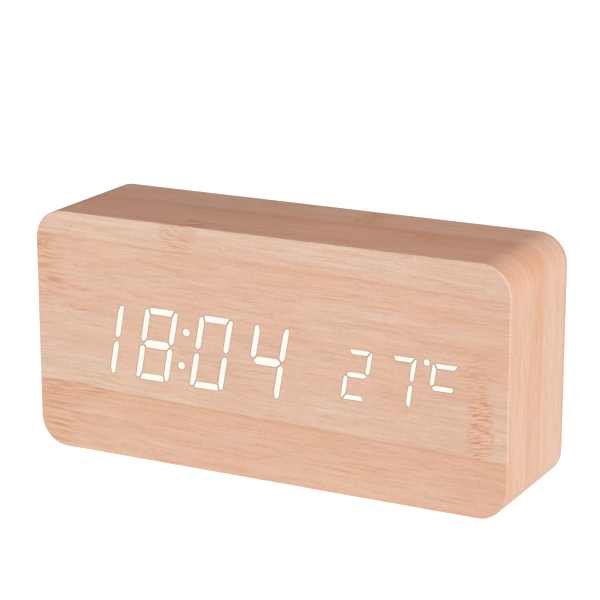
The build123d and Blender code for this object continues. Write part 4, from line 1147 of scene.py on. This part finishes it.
def ribbon():
    """Ribs are the absolute sine of the place across, one hump to each wire."""
    material, r, shader, place = new_material("ribbon_plastic", Roughness=0.5)
    x, y, z = r.split(place)
    across = r.minus(x, ribbon_edge)
    turn = r.times(across, radians(180) / (WIRE_PITCH * MM))
    ribs = r.math("ABSOLUTE", r.math("SINE", turn))
    # painted shade: darker grey in the grooves between the wires, lighter on the crests
    shade = r.mix(r.spread(ribs, 0.0, 0.7), colour(120, 121, 126), colour(172, 173, 178))
    marked = r.math("LESS_THAN", across, WIRE_PITCH * MM)
    shade = r.mix(r.times(marked, ribs), shade, colour(186, 46, 40))
    r.fill(shader, Base_Color=shade)
    r.emboss(shader, ribs, strength=1.0, depth=RIB_HEIGHT)
    dress(material, "ribbon_cable")


ribbon()

# %% [markdown]
# ## Cells
#
# The cells have a dark sleeve with a pale band. It stops short of both ends and leaves the
# steel bare there. A place along the cell decides which of the three it is.

# %% The cells
NUB_LENGTH = 0.8
SLEEVE_END = 0.35
SLEEVE_BAND = 7.0
# blobs of noise to a metre along x, y and z
WORN_MARKS = (300, 900, 900)
ROLLED_MARKS = (800, 4000, 4000)


def cell_sleeve(node):
    """A dark sleeve with a pale band at the end with the nub, and bare steel at both ends.

    The nub's side is the end of the cell's box that lies further from the well's middle.
    """
    low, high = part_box(node)
    outwards = 1.0 if high.x > -low.x else -1.0
    tip = high.x if outwards > 0 else -low.x
    material, r, shader, place = new_material(f"sleeve_{node}", Coat_Weight=0.5, Coat_Roughness=0.1)
    x, y, z = r.split(place)
    inwards = r.line(x, -outwards, tip)
    length = high.x - low.x
    near_nub = r.math("LESS_THAN", inwards, (NUB_LENGTH + SLEEVE_END) * MM)
    near_base = r.math("GREATER_THAN", inwards, length - SLEEVE_END * MM)
    bare = r.math("MAXIMUM", near_nub, near_base)
    band = r.math("LESS_THAN", inwards, SLEEVE_BAND * MM)
    worn = r.noise(r.vector("MULTIPLY", place, WORN_MARKS), detail=3.0)
    sleeve = r.mix(r.spread(worn), colour(36, 42, 52), colour(46, 52, 62))
    sleeve = r.mix(band, sleeve, colour(190, 194, 198))
    rolled = r.noise(r.vector("MULTIPLY", place, ROLLED_MARKS))
    steel = r.mix(r.spread(rolled), colour(176, 176, 174), colour(208, 208, 206))
    rough = r.spread(worn, to_low=0.24, to_high=0.34)
    r.fill(shader, Base_Color=r.mix(bare, sleeve, steel), Metallic=bare, Roughness=rough)
    r.emboss(shader, worn, strength=0.2, depth=0.03)
    dress(material, node)


for number in (1, 2, 3):
    cell_sleeve(f"battery_cell_{number}")
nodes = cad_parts.items()
undressed = [name for name, piece in nodes if not any(s.material for s in piece.material_slots)]
print("pieces without a finish:", undressed)

# %% [markdown]
# ## Stage and light
#
# The photograph is a product shot on white. The face and the right side are bright, and the
# top is clearly darker. A large soft lamp stands high to the right in front, and the white
# table glows and lights the upright sides from below. A second lamp, low behind the clock,
# lights its back and isn't seen in reflections. The sky is nearly dark, with a trace of red
# that warms the top. To the camera, table and sky are plain white.

# %% Table, lamps and sky
TABLE_SIZE = 8.0
TABLE_GAP = 0.05 * MM
TABLE_GLOW = (0.71, 0.71, 0.71, 1.0)
TABLE_WHITE = (0.28, 0.28, 0.28, 1.0)
SKY_LIGHT = (0.04, 0.0, 0.0, 1.0)
LAMP_DISTANCE = 4.5
LAMPS = {
    # name: towards the lamp from the clock, side in metres, power, seen in reflections
    "soft_lamp": ((0.599, -0.503, 0.623), 2.7, 207.0, True),
    "rear_lamp": ((-0.35, 0.93, -0.05), 2.4, 150.0, False),
}


def white_table():
    """A plain table, white to the camera, that glows and can be looked through from below."""
    mesh = bpy.data.meshes.new("table")
    reach = TABLE_SIZE / 2
    height = cad_box[0][2] - TABLE_GAP
    signs = [(-1, -1), (1, -1), (1, 1), (-1, 1)]
    mesh.from_pydata([(x * reach, y * reach, height) for x, y in signs], [], [(0, 1, 2, 3)])
    table = add_object("table", mesh)
    fixed = {"Base_Color": TABLE_WHITE, "Roughness": 1.0, "Emission_Strength": 1.0}
    material, r, shader, place = new_material("white_table", **fixed, Specular_IOR_Level=0.0)
    seen = r.put("LightPath", output="Is Camera Ray")
    r.fill(shader, Emission_Color=r.mix(seen, TABLE_GLOW, WHITE))
    clear = r.put("BsdfTransparent")
    seen_from_below = r.put("NewGeometry", output="Backfacing")
    surface = r.put("MixShader", {0: seen_from_below, 1: shader.outputs[0], 2: clear})
    r.fill(material.node_tree.nodes["Material Output"], Surface=surface)
    table.data.materials.append(material)


def square_lamp(name, towards, side, power, in_reflections):
    """A square lamp that looks at the clock's middle."""
    lamp = add_object(name, bpy.data.lights.new(name, "AREA"))
    lamp.data.energy = power
    lamp.data.size = side
    lamp.visible_glossy = in_reflections
    towards = Vector(towards).normalized()
    place = Vector((0, 0, case_middle_z)) + towards * LAMP_DISTANCE
    turn = towards.to_track_quat("Z", "Y").to_matrix().to_4x4()
    lamp.matrix_world = Matrix.Translation(place) @ turn


def dim_sky():
    """A sky that is white to the camera and a very dark red to everything else."""
    world = bpy.data.worlds.new("sky")
    world.use_nodes = True
    bpy.context.scene.world = world
    r = Recipe(world.node_tree)
    seen = r.put("LightPath", output="Is Camera Ray")
    r.fill(world.node_tree.nodes["Background"], Color=r.mix(seen, SKY_LIGHT, WHITE))


white_table()
for name, settings in LAMPS.items():
    square_lamp(name, *settings)
dim_sky()
print("lamps:", list(LAMPS), "table glow:", TABLE_GLOW[0])
